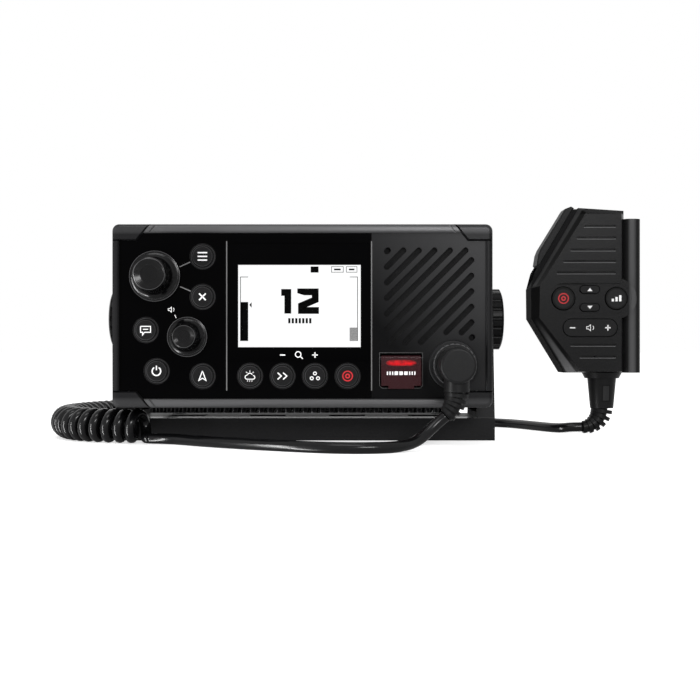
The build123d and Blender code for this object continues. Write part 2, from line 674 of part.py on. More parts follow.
with BuildPart() as mic_socket:
    with BuildSketch(ahead(panel_front)):
        with Locations(SOCKET_PLACE):
            Circle(SOCKET_FLANGE)
            Circle(SOCKET_BARREL, mode=Mode.SUBTRACT)
    extrude(amount=1.6)
    fillet(mic_socket.faces().sort_by(Axis.Y)[0].edges().sort_by(SortBy.LENGTH)[-1], 0.8)
    with BuildSketch(ahead(panel_front + BARREL_REACH)):
        with Locations(SOCKET_PLACE):
            Circle(SOCKET_BARREL)
    extrude(amount=-(BARREL_REACH + FASCIA_WALL + 7))
    with BuildSketch(ahead(panel_back)):
        with Locations(SOCKET_PLACE):
            RegularPolygon(SOCKET_BARREL + 3, 6)
    extrude(amount=-3)
    with BuildSketch(ahead(panel_front + BARREL_REACH)):
        with Locations(SOCKET_PLACE):
            Circle(PLUG_NOSE + 0.2)
    extrude(amount=-(BARREL_REACH + 3), mode=Mode.SUBTRACT)
mic_socket.part.label = "mic_socket"
export_step(mic_socket.part, "parts/mic_socket.step")

with BuildPart() as plug_collar:
    with BuildSketch(ahead(panel_front + 1.9)):
        with Locations(SOCKET_PLACE):
            Circle(COLLAR)
            Circle(SOCKET_BARREL + RUNNING, mode=Mode.SUBTRACT)
            with PolarLocations(COLLAR + 0.3, 24):
                Circle(0.8, mode=Mode.SUBTRACT)
    extrude(amount=ELBOW_BACK - panel_front - 2.2)
plug_collar.part.label = "plug_collar"
export_step(plug_collar.part, "parts/plug_collar.step")

socket_z = PIVOT_HEIGHT + SOCKET_PLACE[1]
neck_end = Vector(SOCKET_PLACE[0], -NECK_AHEAD, socket_z - NECK_DROP)

with BuildPart() as mic_plug:
    with BuildSketch(ahead(panel_front - 2.5)):
        with Locations(SOCKET_PLACE):
            Circle(PLUG_NOSE)
    extrude(amount=ELBOW_BACK - panel_front + 3)
    with BuildSketch(ahead(ELBOW_BACK)):
        with Locations(SOCKET_PLACE):
            Circle(ELBOW)
    extrude(amount=ELBOW_FRONT - ELBOW_BACK)
    fillet(mic_plug.faces().sort_by(Axis.Y)[0].edges(), 1.6)
    with BuildSketch(Plane(origin=neck_end, z_dir=(0, 0, 1))):
        Circle(NECK)
    extrude(amount=NECK_DROP)
mic_plug.part.label = "mic_plug"
export_step(mic_plug.part, "parts/mic_plug.step")


def bend_point(start, radius, degrees_along, away, height_drop=0.0):
    """Point on a bend that starts straight down and turns towards the direction away."""
    angle = radians(degrees_along)
    sideways = Vector(*away) * (radius * (1 - cos(angle)))
    return start + sideways - Vector(0, 0, radius * sin(angle) + height_drop)


def bend_direction(degrees_along, away):
    """Tangent of that bend."""
    angle = radians(degrees_along)
    return Vector(*away) * sin(angle) - Vector(0, 0, cos(angle))


def ribbed_bend(start, radius, turn, core, ribs, thickness, away=(-1, 0, 0)):
    """Boot of a lead: a round core along the bend, with ribs as (degrees along, rib radius)."""
    middle = bend_point(start, radius, turn / 2, away)
    with BuildPart() as bend:
        with BuildLine():
            ThreePointArc(start, middle, bend_point(start, radius, turn, away))
        with BuildSketch(Plane(origin=start, z_dir=(0, 0, -1))):
            Circle(core)
        sweep()
        for along, rib in ribs:
            spot = bend_point(start, radius, along, away)
            with BuildSketch(Plane(origin=spot, z_dir=bend_direction(along, away))):
                Circle(rib)
            extrude(amount=thickness / 2, both=True)
    return bend.part


PLUG_BEND = 16.0
PLUG_TURN = 50.0
PLUG_RIBS = ((6, 6.4), (15, 6.1), (24, 5.7), (34, 5.3), (44, 4.8))

with BuildPart() as plug_boot:
    add(ribbed_bend(neck_end, PLUG_BEND, PLUG_TURN, 3.9, PLUG_RIBS, 1.9))
plug_boot.part.label = "plug_boot"
export_step(plug_boot.part, "parts/plug_boot.step")

# ---------------------------------------------------------------- rear housing and what is in it
with BuildPart() as front_gasket:
    with BuildSketch(ahead(fascia_back)):
        RectangleRounded(FASCIA_WIDTH - 1.4, FASCIA_HEIGHT - 1.4, 3)
        RectangleRounded(FASCIA_WIDTH - 2 * FASCIA_WALL, FASCIA_HEIGHT - 2 * FASCIA_WALL, 2, mode=Mode.SUBTRACT)
    extrude(amount=-GASKET)
front_gasket.part.label = "front_gasket"
export_step(front_gasket.part, "parts/front_gasket.step")

HOUSING_CORNER = 7.0
inner_width = HOUSING_WIDTH - 2 * HOUSING_WALL
inner_height = HOUSING_HEIGHT - 2 * HOUSING_WALL
housing_length = housing_front + HOUSING_BACK
INSERT = 4.0
MAIN_BOARD_Z = -27.0
MAIN_BOARD_SIZE = (164.0, 78.0)
STANDOFF_SPACING = (150.0, 64.0)
ANTENNA_PLACE = (66.0, -31.0)
NETWORK_PLACE = (26.0, -31.0)
POWER_PLACE = (-52.0, -31.0)
ANTENNA_HOLE = 6.2
NETWORK_HOLE = 5.2
POWER_HOLE = 5.6

with BuildPart() as rear_housing:
    with BuildSketch(ahead(housing_front)):
        RectangleRounded(HOUSING_WIDTH, HOUSING_HEIGHT, HOUSING_CORNER)
    extrude(amount=-housing_length)
    fillet(rear_housing.faces().sort_by(Axis.Y)[-1].edges(), 2.5)
    with BuildSketch(ahead(housing_front)):
        RectangleRounded(FASCIA_WIDTH - 2.4, FASCIA_HEIGHT - 2.4, 3)
    extrude(amount=-FLANGE_THICK)
    with BuildSketch(ahead(housing_front)):
        with Locations(*screw_places):
            Circle(SCREW_BOSS)
    extrude(amount=-(FLANGE_THICK + 7))
    for side in (-1, 1):
        with BuildSketch(side_plane(side * (HOUSING_WIDTH / 2 - 10))):
            Circle(PIVOT_BOSS)
        extrude(amount=side * (10 + PIVOT_BOSS_PROUD))
    # cooling ribs along the top and the bottom
    for side in (-1, 1):
        rib_plane = Plane(origin=(0, 0, PIVOT_HEIGHT + side * HOUSING_HEIGHT / 2), z_dir=(0, 0, side))
        with BuildSketch(rib_plane):
            with Locations((0, HOUSING_BACK / 2 - 12)):
                with GridLocations(14, 1, 11, 1):
                    Rectangle(2.4, HOUSING_BACK - 6)
        extrude(amount=1.2)
    # hollow
    with BuildSketch(ahead(housing_front)):
        RectangleRounded(inner_width, inner_height, HOUSING_CORNER - HOUSING_WALL)
    extrude(amount=-(housing_length - HOUSING_WALL), mode=Mode.SUBTRACT)
    for side in (-1, 1):
        with BuildSketch(side_plane(side * (inner_width / 2 - 5))):
            Circle(INSERT + 2.6)
        extrude(amount=side * 6)
        with BuildSketch(side_plane(side * (inner_width / 2 - 5))):
            Circle(INSERT)
        extrude(amount=side * (7 + HOUSING_WALL + PIVOT_BOSS_PROUD), mode=Mode.SUBTRACT)
    # standoffs under the main board
    with BuildSketch(Plane.XY.offset(PIVOT_HEIGHT - HOUSING_HEIGHT / 2 + HOUSING_WALL / 2)):
        with Locations((0, 5)):
            with GridLocations(*STANDOFF_SPACING, 2, 2):
                Circle(3)
    extrude(amount=MAIN_BOARD_Z + HOUSING_HEIGHT / 2 - HOUSING_WALL / 2)
    with BuildSketch(ahead(housing_front)):
        with Locations(*screw_places):
            Circle(SCREW_SHANK)
    extrude(amount=-(FLANGE_THICK + 6.2), mode=Mode.SUBTRACT)
    for place, hole in ((ANTENNA_PLACE, ANTENNA_HOLE), (NETWORK_PLACE, NETWORK_HOLE), (POWER_PLACE, POWER_HOLE)):
        with BuildSketch(ahead(-HOUSING_BACK)):
            with Locations(place):
                Circle(hole)
        extrude(amount=2 * HOUSING_WALL, mode=Mode.SUBTRACT)
rear_housing.part.label = "rear_housing"
export_step(rear_housing.part, "parts/rear_housing.step")

with BuildPart() as pivot_inserts:
    for side in (-1, 1):
        with BuildSketch(side_plane(side * (inner_width / 2 - 3))):
            Circle(INSERT)
            Circle(STUD + RUNNING, mode=Mode.SUBTRACT)
        extrude(amount=side * (3 + HOUSING_WALL + PIVOT_BOSS_PROUD - 0.4))
pivot_inserts.part.label = "pivot_inserts"
export_step(pivot_inserts.part, "parts/pivot_inserts.step")

with BuildPart() as main_board:
    board_plane = Plane.XY.offset(PIVOT_HEIGHT + MAIN_BOARD_Z)
    with BuildSketch(board_plane):
        with Locations((0, 5)):
            Rectangle(*MAIN_BOARD_SIZE)
    extrude(amount=BOARD_THICK)
    # screening cans and the tall parts of the transmitter
    with BuildSketch(board_plane.offset(BOARD_THICK)):
        with Locations((-45, 12)):
            RectangleRounded(52, 40, 1)
        with Locations((22, 20)):
            RectangleRounded(40, 26, 1)
    extrude(amount=9)
    with BuildSketch(board_plane.offset(BOARD_THICK)):
        with Locations((22, -18), (38, -18), (62, 12)):
            Circle(6)
    extrude(amount=18)
main_board.part.label = "main_board"
export_step(main_board.part, "parts/main_board.step")

# ---------------------------------------------------------------- back of the radio
FIN_COUNT = 15
HEATSINK_SIZE = (150.0, 60.0)
HEATSINK_Z = 12.0
HEATSINK_BASE = 4.0
FIN_REACH = 12.0

with BuildPart() as heatsink:
    with BuildSketch(ahead(-HOUSING_BACK)):
        with Locations((0, HEATSINK_Z)):
            RectangleRounded(*HEATSINK_SIZE, 2)
    extrude(amount=-HEATSINK_BASE)
    with BuildSketch(ahead(-HOUSING_BACK - HEATSINK_BASE)):
        with Locations((0, HEATSINK_Z)):
            with GridLocations(10, 1, FIN_COUNT, 1):
                Rectangle(2, HEATSINK_SIZE[1] - 6)
    extrude(amount=-FIN_REACH, taper=1)
heatsink.part.label = "heatsink"
export_step(heatsink.part, "parts/heatsink.step")

ANTENNA_BARREL = 7.94
ANTENNA_REACH = 17.0
NETWORK_BARREL = 6.0
NETWORK_REACH = 12.0

with BuildPart() as antenna_socket:
    with BuildSketch(ahead(-HOUSING_BACK)):
        with Locations(ANTENNA_PLACE):
            RectangleRounded(25.4, 25.4, 2)
    extrude(amount=-2)
    with BuildSketch(ahead(-HOUSING_BACK)):
        with Locations(ANTENNA_PLACE):
            Circle(ANTENNA_BARREL)
    extrude(amount=-ANTENNA_REACH)
    with BuildSketch(ahead(-HOUSING_BACK)):
        with Locations(ANTENNA_PLACE):
            Circle(ANTENNA_HOLE - 0.1)
    extrude(amount=HOUSING_WALL + 4)
    with BuildSketch(ahead(-HOUSING_BACK - ANTENNA_REACH)):
        with Locations(ANTENNA_PLACE):
            Circle(6)
            Circle(2.6, mode=Mode.SUBTRACT)
    extrude(amount=8, mode=Mode.SUBTRACT)
    with BuildSketch(ahead(-HOUSING_BACK - ANTENNA_REACH)):
        with Locations(ANTENNA_PLACE):
            Circle(1.6)
    extrude(amount=8, mode=Mode.SUBTRACT)
antenna_socket.part.label = "antenna_socket"
export_step(antenna_socket.part, "parts/antenna_socket.step")

with BuildPart() as network_socket:
    with BuildSketch(ahead(-HOUSING_BACK)):
        with Locations(NETWORK_PLACE):
            RegularPolygon(9, 6)
    extrude(amount=-2.5)
    with BuildSketch(ahead(-HOUSING_BACK)):
        with Locations(NETWORK_PLACE):
            Circle(NETWORK_BARREL)
    extrude(amount=-NETWORK_REACH)
    with BuildSketch(ahead(-HOUSING_BACK)):
        with Locations(NETWORK_PLACE):
            Circle(NETWORK_HOLE - 0.1)
    extrude(amount=HOUSING_WALL + 2)
    with BuildSketch(ahead(-HOUSING_BACK - NETWORK_REACH)):
        with Locations(NETWORK_PLACE):
            Circle(4.4)
            with GridLocations(3.2, 3.2, 2, 2):
                Circle(0.6, mode=Mode.SUBTRACT)
            Circle(0.6, mode=Mode.SUBTRACT)
    extrude(amount=6, mode=Mode.SUBTRACT)
network_socket.part.label = "network_socket"
export_step(network_socket.part, "parts/network_socket.step")

with BuildPart() as power_gland:
    with BuildSketch(ahead(-HOUSING_BACK)):
        with Locations(POWER_PLACE):
            RegularPolygon(9.5, 6)
    extrude(amount=-4)
    with BuildSketch(ahead(-HOUSING_BACK - 4)):
        with Locations(POWER_PLACE):
            Circle(7.6)
    extrude(amount=-7, taper=14)
    with BuildSketch(ahead(-HOUSING_BACK)):
        with Locations(POWER_PLACE):
            Circle(POWER_HOLE - 0.1)
    extrude(amount=HOUSING_WALL + 2)
    with BuildSketch(ahead(-HOUSING_BACK - 11)):
        with Locations(POWER_PLACE):
            Circle(3.2)
    extrude(amount=9, mode=Mode.SUBTRACT)
power_gland.part.label = "power_gland"
export_step(power_gland.part, "parts/power_gland.step")

# ---------------------------------------------------------------- handset
OUTLINE = [(-16.6, 102.6), (11.6, 100.8), (11.6, 0), (-25.5, 0), (-45.9, 33.7), (-46.1, 52.6)]
FACE = [(-13.1, 98.8), (8.7, 98.2), (8.7, 0.8), (-16.1, 0.8), (-42.0, 34.0), (-41.6, 53.6)]
INSIDE = [(-12.0, 94.6), (7.4, 94.0), (7.4, 4.4), (-17.2, 4.4), (-38.8, 34.6), (-38.6, 52.6)]
RIDGE_X = 16.0
RIDGE_WIDTH = 11.6
RIDGE_DEPTH = 27.0
RIDGE_HEIGHT = 95.4
BULGE = 12.6
KEY_RECESS = 0.8
FRONT_GROOVES = ((90.5, -14.5), (83.3, -18.8), (75.9, -22.7), (68.8, -27.1), (61.8, -31.2), (17.2, -22.7),
                 (9.9, -17.1))
GROOVE_RIGHT = 5.1
GROOVE = 1.3
MICROPHONE_PLACE = (-8.0, 9.9)  # in the lowest groove
HANDSET_SCREWS = ((-33.5, 36.5), (1.5, 88.0), (1.5, 9.0))
PTT_GAP = 1.9
PTT_TRAVEL = 1.5
PTT_STEM = 1.8
PTT_STEM_SHARES = (0.4, 0.82)
PTT_FRONT = 7.0
PTT_BACK = 9.0
LIP = 1.7

edge_low, edge_high = Vector(*OUTLINE[5]), Vector(*OUTLINE[0])
edge_along = (edge_high - edge_low).normalized()
edge_out = Vector(-edge_along.Y, edge_along.X)
ptt_plane_x = Vector(edge_along.X, 0, edge_along.Y)
ptt_inward = Vector(-edge_out.X, 0, -edge_out.Y)


def ptt_stem_plane(share):
    """Plane on the slanted side wall, facing into the handset, this share of the way up it."""
    spot = edge_low + (edge_high - edge_low) * share
    origin = Vector(HANDSET_X + spot.X, HANDSET_MIDDLE, HANDSET_BOTTOM + spot.Y)
    return Plane(origin=origin, x_dir=ptt_plane_x, z_dir=ptt_inward)


def beside_slant(share, out):
    """Point this share up the slanted side and this far out from it."""
    spot = edge_low + (edge_high - edge_low) * share + edge_out * out
    return (spot.X, spot.Y)


LIP_OUTLINE = [beside_slant(*corner) for corner in ((0.0, -1), (0.0, 0.1), (0.17, 2.9), (0.96, 2.9), (1.0, -1))]

face_inner = HANDSET_FRONT - HANDSET_WALL
recess_floor = HANDSET_FRONT - KEY_RECESS

with BuildPart() as handset_front:
    with BuildSketch(handset_plane(0)):
        Polygon(*OUTLINE, align=None)
    extrude(amount=HANDSET_FRONT - HANDSET_BEVEL)
    with BuildSketch(handset_plane(HANDSET_FRONT - HANDSET_BEVEL)):
        Polygon(*OUTLINE, align=None)
    with BuildSketch(handset_plane(HANDSET_FRONT)):
        Polygon(*FACE, align=None)
    loft()
    # lip that covers the gap behind the press-to-talk key
    with BuildSketch(handset_plane(PTT_FRONT + KEY_GAP)):
        Polygon(*LIP_OUTLINE, align=None)
    extrude(amount=LIP, taper=20)
    # grip ridge down the right edge, and the round swelling beside the power-level key
    with BuildSketch(Plane(origin=(HANDSET_X + RIDGE_X, HANDSET_MIDDLE, HANDSET_BOTTOM))):
        RectangleRounded(RIDGE_WIDTH, RIDGE_DEPTH, 5)
        with Locations((0, RIDGE_DEPTH / 2)):
            Rectangle(RIDGE_WIDTH, RIDGE_DEPTH, mode=Mode.SUBTRACT)
    extrude(amount=RIDGE_HEIGHT)
    with BuildSketch(handset_plane(4)):
        with Locations(HANDSET_KEYS["handset_power_level_key"][:2]):
            Circle(BULGE)
    extrude(amount=HANDSET_FRONT - 4.6)
    # hollow with its screw posts
    with BuildSketch(handset_plane(0)):
        Polygon(*INSIDE, align=None)
    extrude(amount=face_inner, mode=Mode.SUBTRACT)
    with BuildSketch(handset_plane(0)):
        with Locations(*HANDSET_SCREWS):
            Circle(3)
    extrude(amount=face_inner)
    # key field, grooves and openings
    key_low, key_high = HANDSET_KEYS["handset_calling_key"], HANDSET_KEYS["handset_power_level_key"]
    with BuildSketch(handset_plane(HANDSET_FRONT)):
        with Locations(((key_low[0] + key_high[0]) / 2, key_low[1])):
            SlotCenterToCenter(key_high[0] - key_low[0], 19)
    extrude(amount=-KEY_RECESS, mode=Mode.SUBTRACT)
    with BuildSketch(handset_plane(HANDSET_FRONT)):
        for groove_z, groove_left in FRONT_GROOVES:
            with Locations(((groove_left + GROOVE_RIGHT) / 2, groove_z)):
                SlotOverall(GROOVE_RIGHT - groove_left, GROOVE)
    extrude(amount=-0.9, mode=Mode.SUBTRACT)
    with BuildSketch(handset_plane(HANDSET_FRONT)):
        for key_x, key_z, key_radius in HANDSET_KEYS.values():
            with Locations((key_x, key_z)):
                Circle(key_radius + KEY_GAP)
        with Locations(*CHANNEL_PILLS.values()):
            SlotOverall(PILL_SIZE[0] + 2 * KEY_GAP, PILL_SIZE[1] + 2 * KEY_GAP)
        with Locations(ROCKER_PLACE):
            SlotOverall(ROCKER_SIZE[0] + 2 * KEY_GAP, ROCKER_SIZE[1] + 2 * KEY_GAP)
        with Locations(MICROPHONE_PLACE):
            Circle(GROOVE / 2)
    extrude(amount=-(HANDSET_WALL + 1), mode=Mode.SUBTRACT)
    for share in PTT_STEM_SHARES:
        with BuildSketch(ptt_stem_plane(share).offset(-1)):
            Circle(PTT_STEM + KEY_GAP)
        extrude(amount=12, mode=Mode.SUBTRACT)
handset_front.part.label = "handset_front"
export_step(handset_front.part, "parts/handset_front.step")

back_inner = HANDSET_BACK - HANDSET_WALL
GLAND_TOP = 12.4
GLAND_BOTTOM = 10.6
GLAND_DROP = 3.6

with BuildPart() as handset_back:
    with BuildSketch(handset_plane(0)):
        Polygon(*OUTLINE, align=None)
    extrude(amount=-(HANDSET_BACK - 5))
    with BuildSketch(handset_plane(5 - HANDSET_BACK)):
        Polygon(*OUTLINE, align=None)
    with BuildSketch(handset_plane(-HANDSET_BACK)):
        Polygon(*FACE, align=None)
    loft()
    with BuildSketch(handset_plane(-PTT_BACK - KEY_GAP)):
        Polygon(*LIP_OUTLINE, align=None)
    extrude(amount=-LIP, taper=20)
    with BuildSketch(Plane(origin=(HANDSET_X + RIDGE_X, HANDSET_MIDDLE, HANDSET_BOTTOM))):
        RectangleRounded(RIDGE_WIDTH, RIDGE_DEPTH, 5)
        with Locations((0, -RIDGE_DEPTH / 2)):
            Rectangle(RIDGE_WIDTH, RIDGE_DEPTH, mode=Mode.SUBTRACT)
    extrude(amount=RIDGE_HEIGHT)
    with BuildSketch(handset_plane(0)):
        Polygon(*INSIDE, align=None)
    extrude(amount=-back_inner, mode=Mode.SUBTRACT)
    with BuildSketch(handset_plane(0)):
        with Locations(*HANDSET_SCREWS):
            Circle(3)
    extrude(amount=-back_inner)
    with BuildSketch(handset_plane(-HANDSET_BACK)):
        with Locations(*HANDSET_SCREWS):
            Circle(1.9)
    extrude(amount=6, mode=Mode.SUBTRACT)
    with BuildSketch(handset_plane(-HANDSET_BACK)):
        with Locations(*HANDSET_SCREWS):
            Circle(1.2)
    extrude(amount=HANDSET_BACK, mode=Mode.SUBTRACT)
    for share in PTT_STEM_SHARES:
        with BuildSketch(ptt_stem_plane(share).offset(-1)):
            Circle(PTT_STEM + KEY_GAP)
        extrude(amount=12, mode=Mode.SUBTRACT)
handset_back.part.label = "handset_back"
export_step(handset_back.part, "parts/handset_back.step")

with BuildPart() as handset_screws:
    with BuildSketch(handset_plane(-HANDSET_BACK + 1)):
        with Locations(*HANDSET_SCREWS):
            Circle(1.8)
    extrude(amount=5)
    with BuildSketch(handset_plane(-HANDSET_BACK + 1)):
        with Locations(*HANDSET_SCREWS):
            Circle(1.1)
    extrude(amount=HANDSET_BACK - 1.2)
handset_screws.part.label = "handset_screws"
export_step(handset_screws.part, "parts/handset_screws.step")

with BuildPart() as hang_button:
    with BuildSketch(handset_plane(-HANDSET_BACK)):
        with Locations((-14, 62)):
            Circle(4)
    extrude(amount=-5)
    with BuildSketch(handset_plane(-HANDSET_BACK - 5)):
        with Locations((-14, 62)):
            Circle(7.6)
    extrude(amount=-2.4)
    fillet(hang_button.faces().sort_by(Axis.Y)[-1].edges(), 1)
hang_button.part.label = "hang_button"
export_step(hang_button.part, "parts/hang_button.step")

HANDSET_BOARD_FRONT = 5.0

with BuildPart() as handset_board:
    with BuildSketch(handset_plane(HANDSET_BOARD_FRONT)):
        with BuildLine():
            Polyline((-12.5, 90.0), (5.8, 90.0), (5.8, 6.0), (-17.5, 6.0), (-36.0, 34.6), (-36.0, 50.0), close=True)
        make_face()
        with Locations(*HANDSET_SCREWS):
            Circle(3.05, mode=Mode.SUBTRACT)
    extrude(amount=-BOARD_THICK)
handset_board.part.label = "handset_board"
export_step(handset_board.part, "parts/handset_board.step")

with BuildPart() as microphone_capsule:
    with BuildSketch(handset_plane(face_inner)):
        with Locations(MICROPHONE_PLACE):
            Circle(4.4)
    extrude(amount=-(face_inner - HANDSET_BOARD_FRONT))
microphone_capsule.part.label = "microphone_capsule"
export_step(microphone_capsule.part, "parts/microphone_capsule.step")

# keys of the handset: each has a flange behind the wall and a stem towards the board
HANDSET_KEY_TRAVEL = 0.7
HANDSET_KEY_PROUD = 0.7
stem_back = HANDSET_BOARD_FRONT + HANDSET_KEY_TRAVEL + 0.3

for name, (key_x, key_z, key_radius) in HANDSET_KEYS.items():
    with BuildPart() as handset_key:
        with BuildSketch(handset_plane(face_inner - 0.1)):
            with Locations((key_x, key_z)):
                Circle(key_radius + 1)
        extrude(amount=-1)
        with BuildSketch(handset_plane(face_inner - 0.1)):
            with Locations((key_x, key_z)):
                Circle(key_radius)
        extrude(amount=recess_floor + HANDSET_KEY_PROUD - face_inner + 0.1)
        fillet(handset_key.faces().sort_by(Axis.Y)[0].edges(), 0.5)
        with BuildSketch(handset_plane(stem_back)):
            with Locations((key_x, key_z)):
                Circle(1.5)
        extrude(amount=face_inner - 1.1 - stem_back)
        # the flange stops short of the shell's right-hand wall
        with BuildSketch(handset_plane(face_inner)):
            with Locations((INSIDE[1][0] - KEY_GAP + 10, key_z)):
                Rectangle(20, 30)
        extrude(amount=-2, mode=Mode.SUBTRACT)
    handset_key.part.label = name
    export_step(handset_key.part, f"parts/{name}.step")

for name, place in CHANNEL_PILLS.items():
    with BuildPart() as pill_key:
        with BuildSketch(handset_plane(face_inner - 0.1)):
            with Locations(place):
                SlotOverall(PILL_SIZE[0] + 1.6, PILL_SIZE[1] + 1.6)
        extrude(amount=-1)
        with BuildSketch(handset_plane(face_inner - 0.1)):
            with Locations(place):
                SlotOverall(*PILL_SIZE)
        extrude(amount=recess_floor + HANDSET_KEY_PROUD - face_inner + 0.1)
        fillet(pill_key.faces().sort_by(Axis.Y)[0].edges(), 0.5)
        with BuildSketch(handset_plane(stem_back)):
            with Locations(place):
                Circle(1.8)
        extrude(amount=face_inner - 1.1 - stem_back)
    pill_key.part.label = name
    export_step(pill_key.part, f"parts/{name}.step")

with BuildPart() as handset_volume_rocker:
    with BuildSketch(handset_plane(face_inner - 0.7)):
        with Locations(ROCKER_PLACE):
            SlotOverall(ROCKER_SIZE[0] + 1.6, ROCKER_SIZE[1] + 1.6)
    extrude(amount=-1)
    with BuildSketch(handset_plane(face_inner - 0.7)):
        with Locations(ROCKER_PLACE):
            SlotOverall(*ROCKER_SIZE)
    extrude(amount=HANDSET_WALL + 0.7 + 0.2)
    fillet(handset_volume_rocker.faces().sort_by(Axis.Y)[0].edges(), 0.5)
    with BuildSketch(handset_plane(HANDSET_BOARD_FRONT + 0.1)):
        with Locations(ROCKER_PLACE):
            Rectangle(1.6, 6)
    extrude(amount=face_inner - 1.7 - HANDSET_BOARD_FRONT - 0.1)
handset_volume_rocker.part.label = "handset_volume_rocker"
export_step(handset_volume_rocker.part, "parts/handset_volume_rocker.step")

# press-to-talk key: a bar along the slanted side, guided by two stems
PTT_OUTLINE = [(0.25, PTT_GAP), (0.985, PTT_GAP), (0.985, 4.0), (0.93, 6.5), (0.42, 7.0), (0.36, 6.5), (0.25, 4.0)]

with BuildPart() as ptt_key:
    with BuildSketch(handset_plane(-PTT_BACK)):
        Polygon(*[beside_slant(*corner) for corner in PTT_OUTLINE], align=None)
    extrude(amount=PTT_BACK + PTT_FRONT)
    chamfer(ptt_key.faces().filter_by(Axis.Y).edges(), 0.9)
    for share in PTT_STEM_SHARES:
        with BuildSketch(ptt_stem_plane(share).offset(-PTT_GAP - 0.5)):
            Circle(PTT_STEM)
        extrude(amount=PTT_GAP + 7.5)
ptt_key.part.label = "ptt_key"
export_step(ptt_key.part, "parts/ptt_key.step")

SLEEVE_TOP = 8.9
SLEEVE_BOTTOM = 7.2
SLEEVE_END = 16.0  # height of the end of the straight sleeve
HANDSET_BEND = 12.0
HANDSET_RIBS = ((9, 6.7), (24, 6.4), (39, 5.9), (54, 5.3), (69, 4.6), (84, 3.9))

sleeve_end = Vector(HANDSET_X, HANDSET_MIDDLE, SLEEVE_END)

with BuildPart() as handset_boot:
    with BuildSketch(Plane(origin=(HANDSET_X, HANDSET_MIDDLE, HANDSET_BOTTOM))):
        Circle(GLAND_TOP)
    with BuildSketch(Plane(origin=(HANDSET_X, HANDSET_MIDDLE, HANDSET_BOTTOM - GLAND_DROP))):
        Circle(GLAND_BOTTOM)
    loft()
    with BuildSketch(Plane(origin=(HANDSET_X, HANDSET_MIDDLE, HANDSET_BOTTOM - GLAND_DROP))):
        Circle(SLEEVE_TOP)
    with BuildSketch(Plane(origin=(HANDSET_X, HANDSET_MIDDLE, SLEEVE_END))):
        Circle(SLEEVE_BOTTOM)
    loft()
    with BuildSketch(Plane(origin=(HANDSET_X, HANDSET_MIDDLE, SLEEVE_END + 2))):
        with PolarLocations(SLEEVE_TOP + 0.6, 8):
            RectangleRounded(1.8, 2.6, 0.6)
    extrude(amount=11, mode=Mode.SUBTRACT)
    add(ribbed_bend(sleeve_end, HANDSET_BEND, 90, 3.6, HANDSET_RIBS, 2.3))
handset_boot.part.label = "handset_boot"
export_step(handset_boot.part, "parts/handset_boot.step")

# ---------------------------------------------------------------- lead
plug_end = bend_point(neck_end, PLUG_BEND, PLUG_TURN, (-1, 0, 0))
plug_exit = bend_direction(PLUG_TURN, (-1, 0, 0))
handset_end = bend_point(sleeve_end, HANDSET_BEND, 90, (-1, 0, 0))
FLOOR = WIRE / 2
COIL_FLOOR = COIL_OUTER / 2

FRONT_ROUTE = [
    tuple(plug_end),
    tuple(plug_end + plug_exit * 8.5),
    (61.5, -94.5, 5.2),
    (51.0, -104.5, FLOOR),
    (37.0, -110.5, FLOOR),
    (20.0, -110.0, FLOOR),
    (2.5, -103.0, FLOOR),
    (-15.0, -93.5, FLOOR),
    (-32.0, -83.5, FLOOR),
    (-49.0, -72.5, FLOOR),
    (-63.5, -60.5, FLOOR),
    (-77.2, -50.4, FLOOR),
    (-91.0, -47.5, FLOOR),
]
COIL_ROUTE = [
    (-91.0, -47.5, COIL_FLOOR),
    (-110.0, -43.5, COIL_FLOOR),
    (-127.0, -34.0, COIL_FLOOR),
    (-139.5, -18.5, COIL_FLOOR),
    (-145.5, 1.0, COIL_FLOOR),
    (-144.5, 23.0, COIL_FLOOR),
    (-139.0, 45.0, COIL_FLOOR),
    (-128.5, 67.0, COIL_FLOOR),
    (-112.0, 87.0, COIL_FLOOR),
    (-90.0, 101.5, COIL_FLOOR),
    (-64.0, 109.5, COIL_FLOOR),
    (-36.0, 113.0, COIL_FLOOR),
    (-8.0, 114.5, COIL_FLOOR),
    (20.0, 113.0, COIL_FLOOR),
    (48.0, 112.5, COIL_FLOOR),
    (75.0, 109.5, COIL_FLOOR),
    (94.0, 102.0, COIL_FLOOR),
]
REAR_ROUTE = [
    (94.0, 102.0, FLOOR),
    (106.09, 97.23, FLOOR),
    (118.5, 87.0, FLOOR),
    (131.0, 77.5, FLOOR),
    (141.5, 66.0, FLOOR),
    (147.5, 53.0, FLOOR),
    (153.0, 42.0, FLOOR),
    (158.5, 34.0, FLOOR),
    (165.5, HANDSET_MIDDLE, SLEEVE_END - HANDSET_BEND),
    tuple(handset_end),
]


def arc_radii(route):
    """Arc at each inner point: 0.45 of the shorter run, over the tangent of half the turn."""
    points = [Vector(*point) for point in route]
    runs = [end - start for start, end in zip(points, points[1:])]
    radii = []
    for before, after in zip(runs, runs[1:]):
        half_turn = radians(before.get_angle(after)) / 2
        radii.append(0.45 * min(before.length, after.length) / tan(half_turn))
    return radii


for name, route, thickness in (
    ("cord_front", FRONT_ROUTE, WIRE),
    ("cord_curly", COIL_ROUTE, COIL_OUTER),
    ("cord_rear", REAR_ROUTE, WIRE),
):
    with BuildPart() as cord:
        with BuildLine() as path:
            FilletPolyline(*route, radius=arc_radii(route))
        with BuildSketch(Plane(origin=route[0], z_dir=path.line % 0)):
            Circle(thickness / 2)
        sweep()
    cord.part.label = name
    export_step(cord.part, f"parts/{name}.step")
    run_length = sum(edge.length for edge in path.edges())
    expected = run_length * pi * thickness**2 / 4
    print(name, "length", round(run_length, 1), "radii", [round(r) for r in arc_radii(route)],
          "volume ratio", round(cord.part.volume / expected, 4))
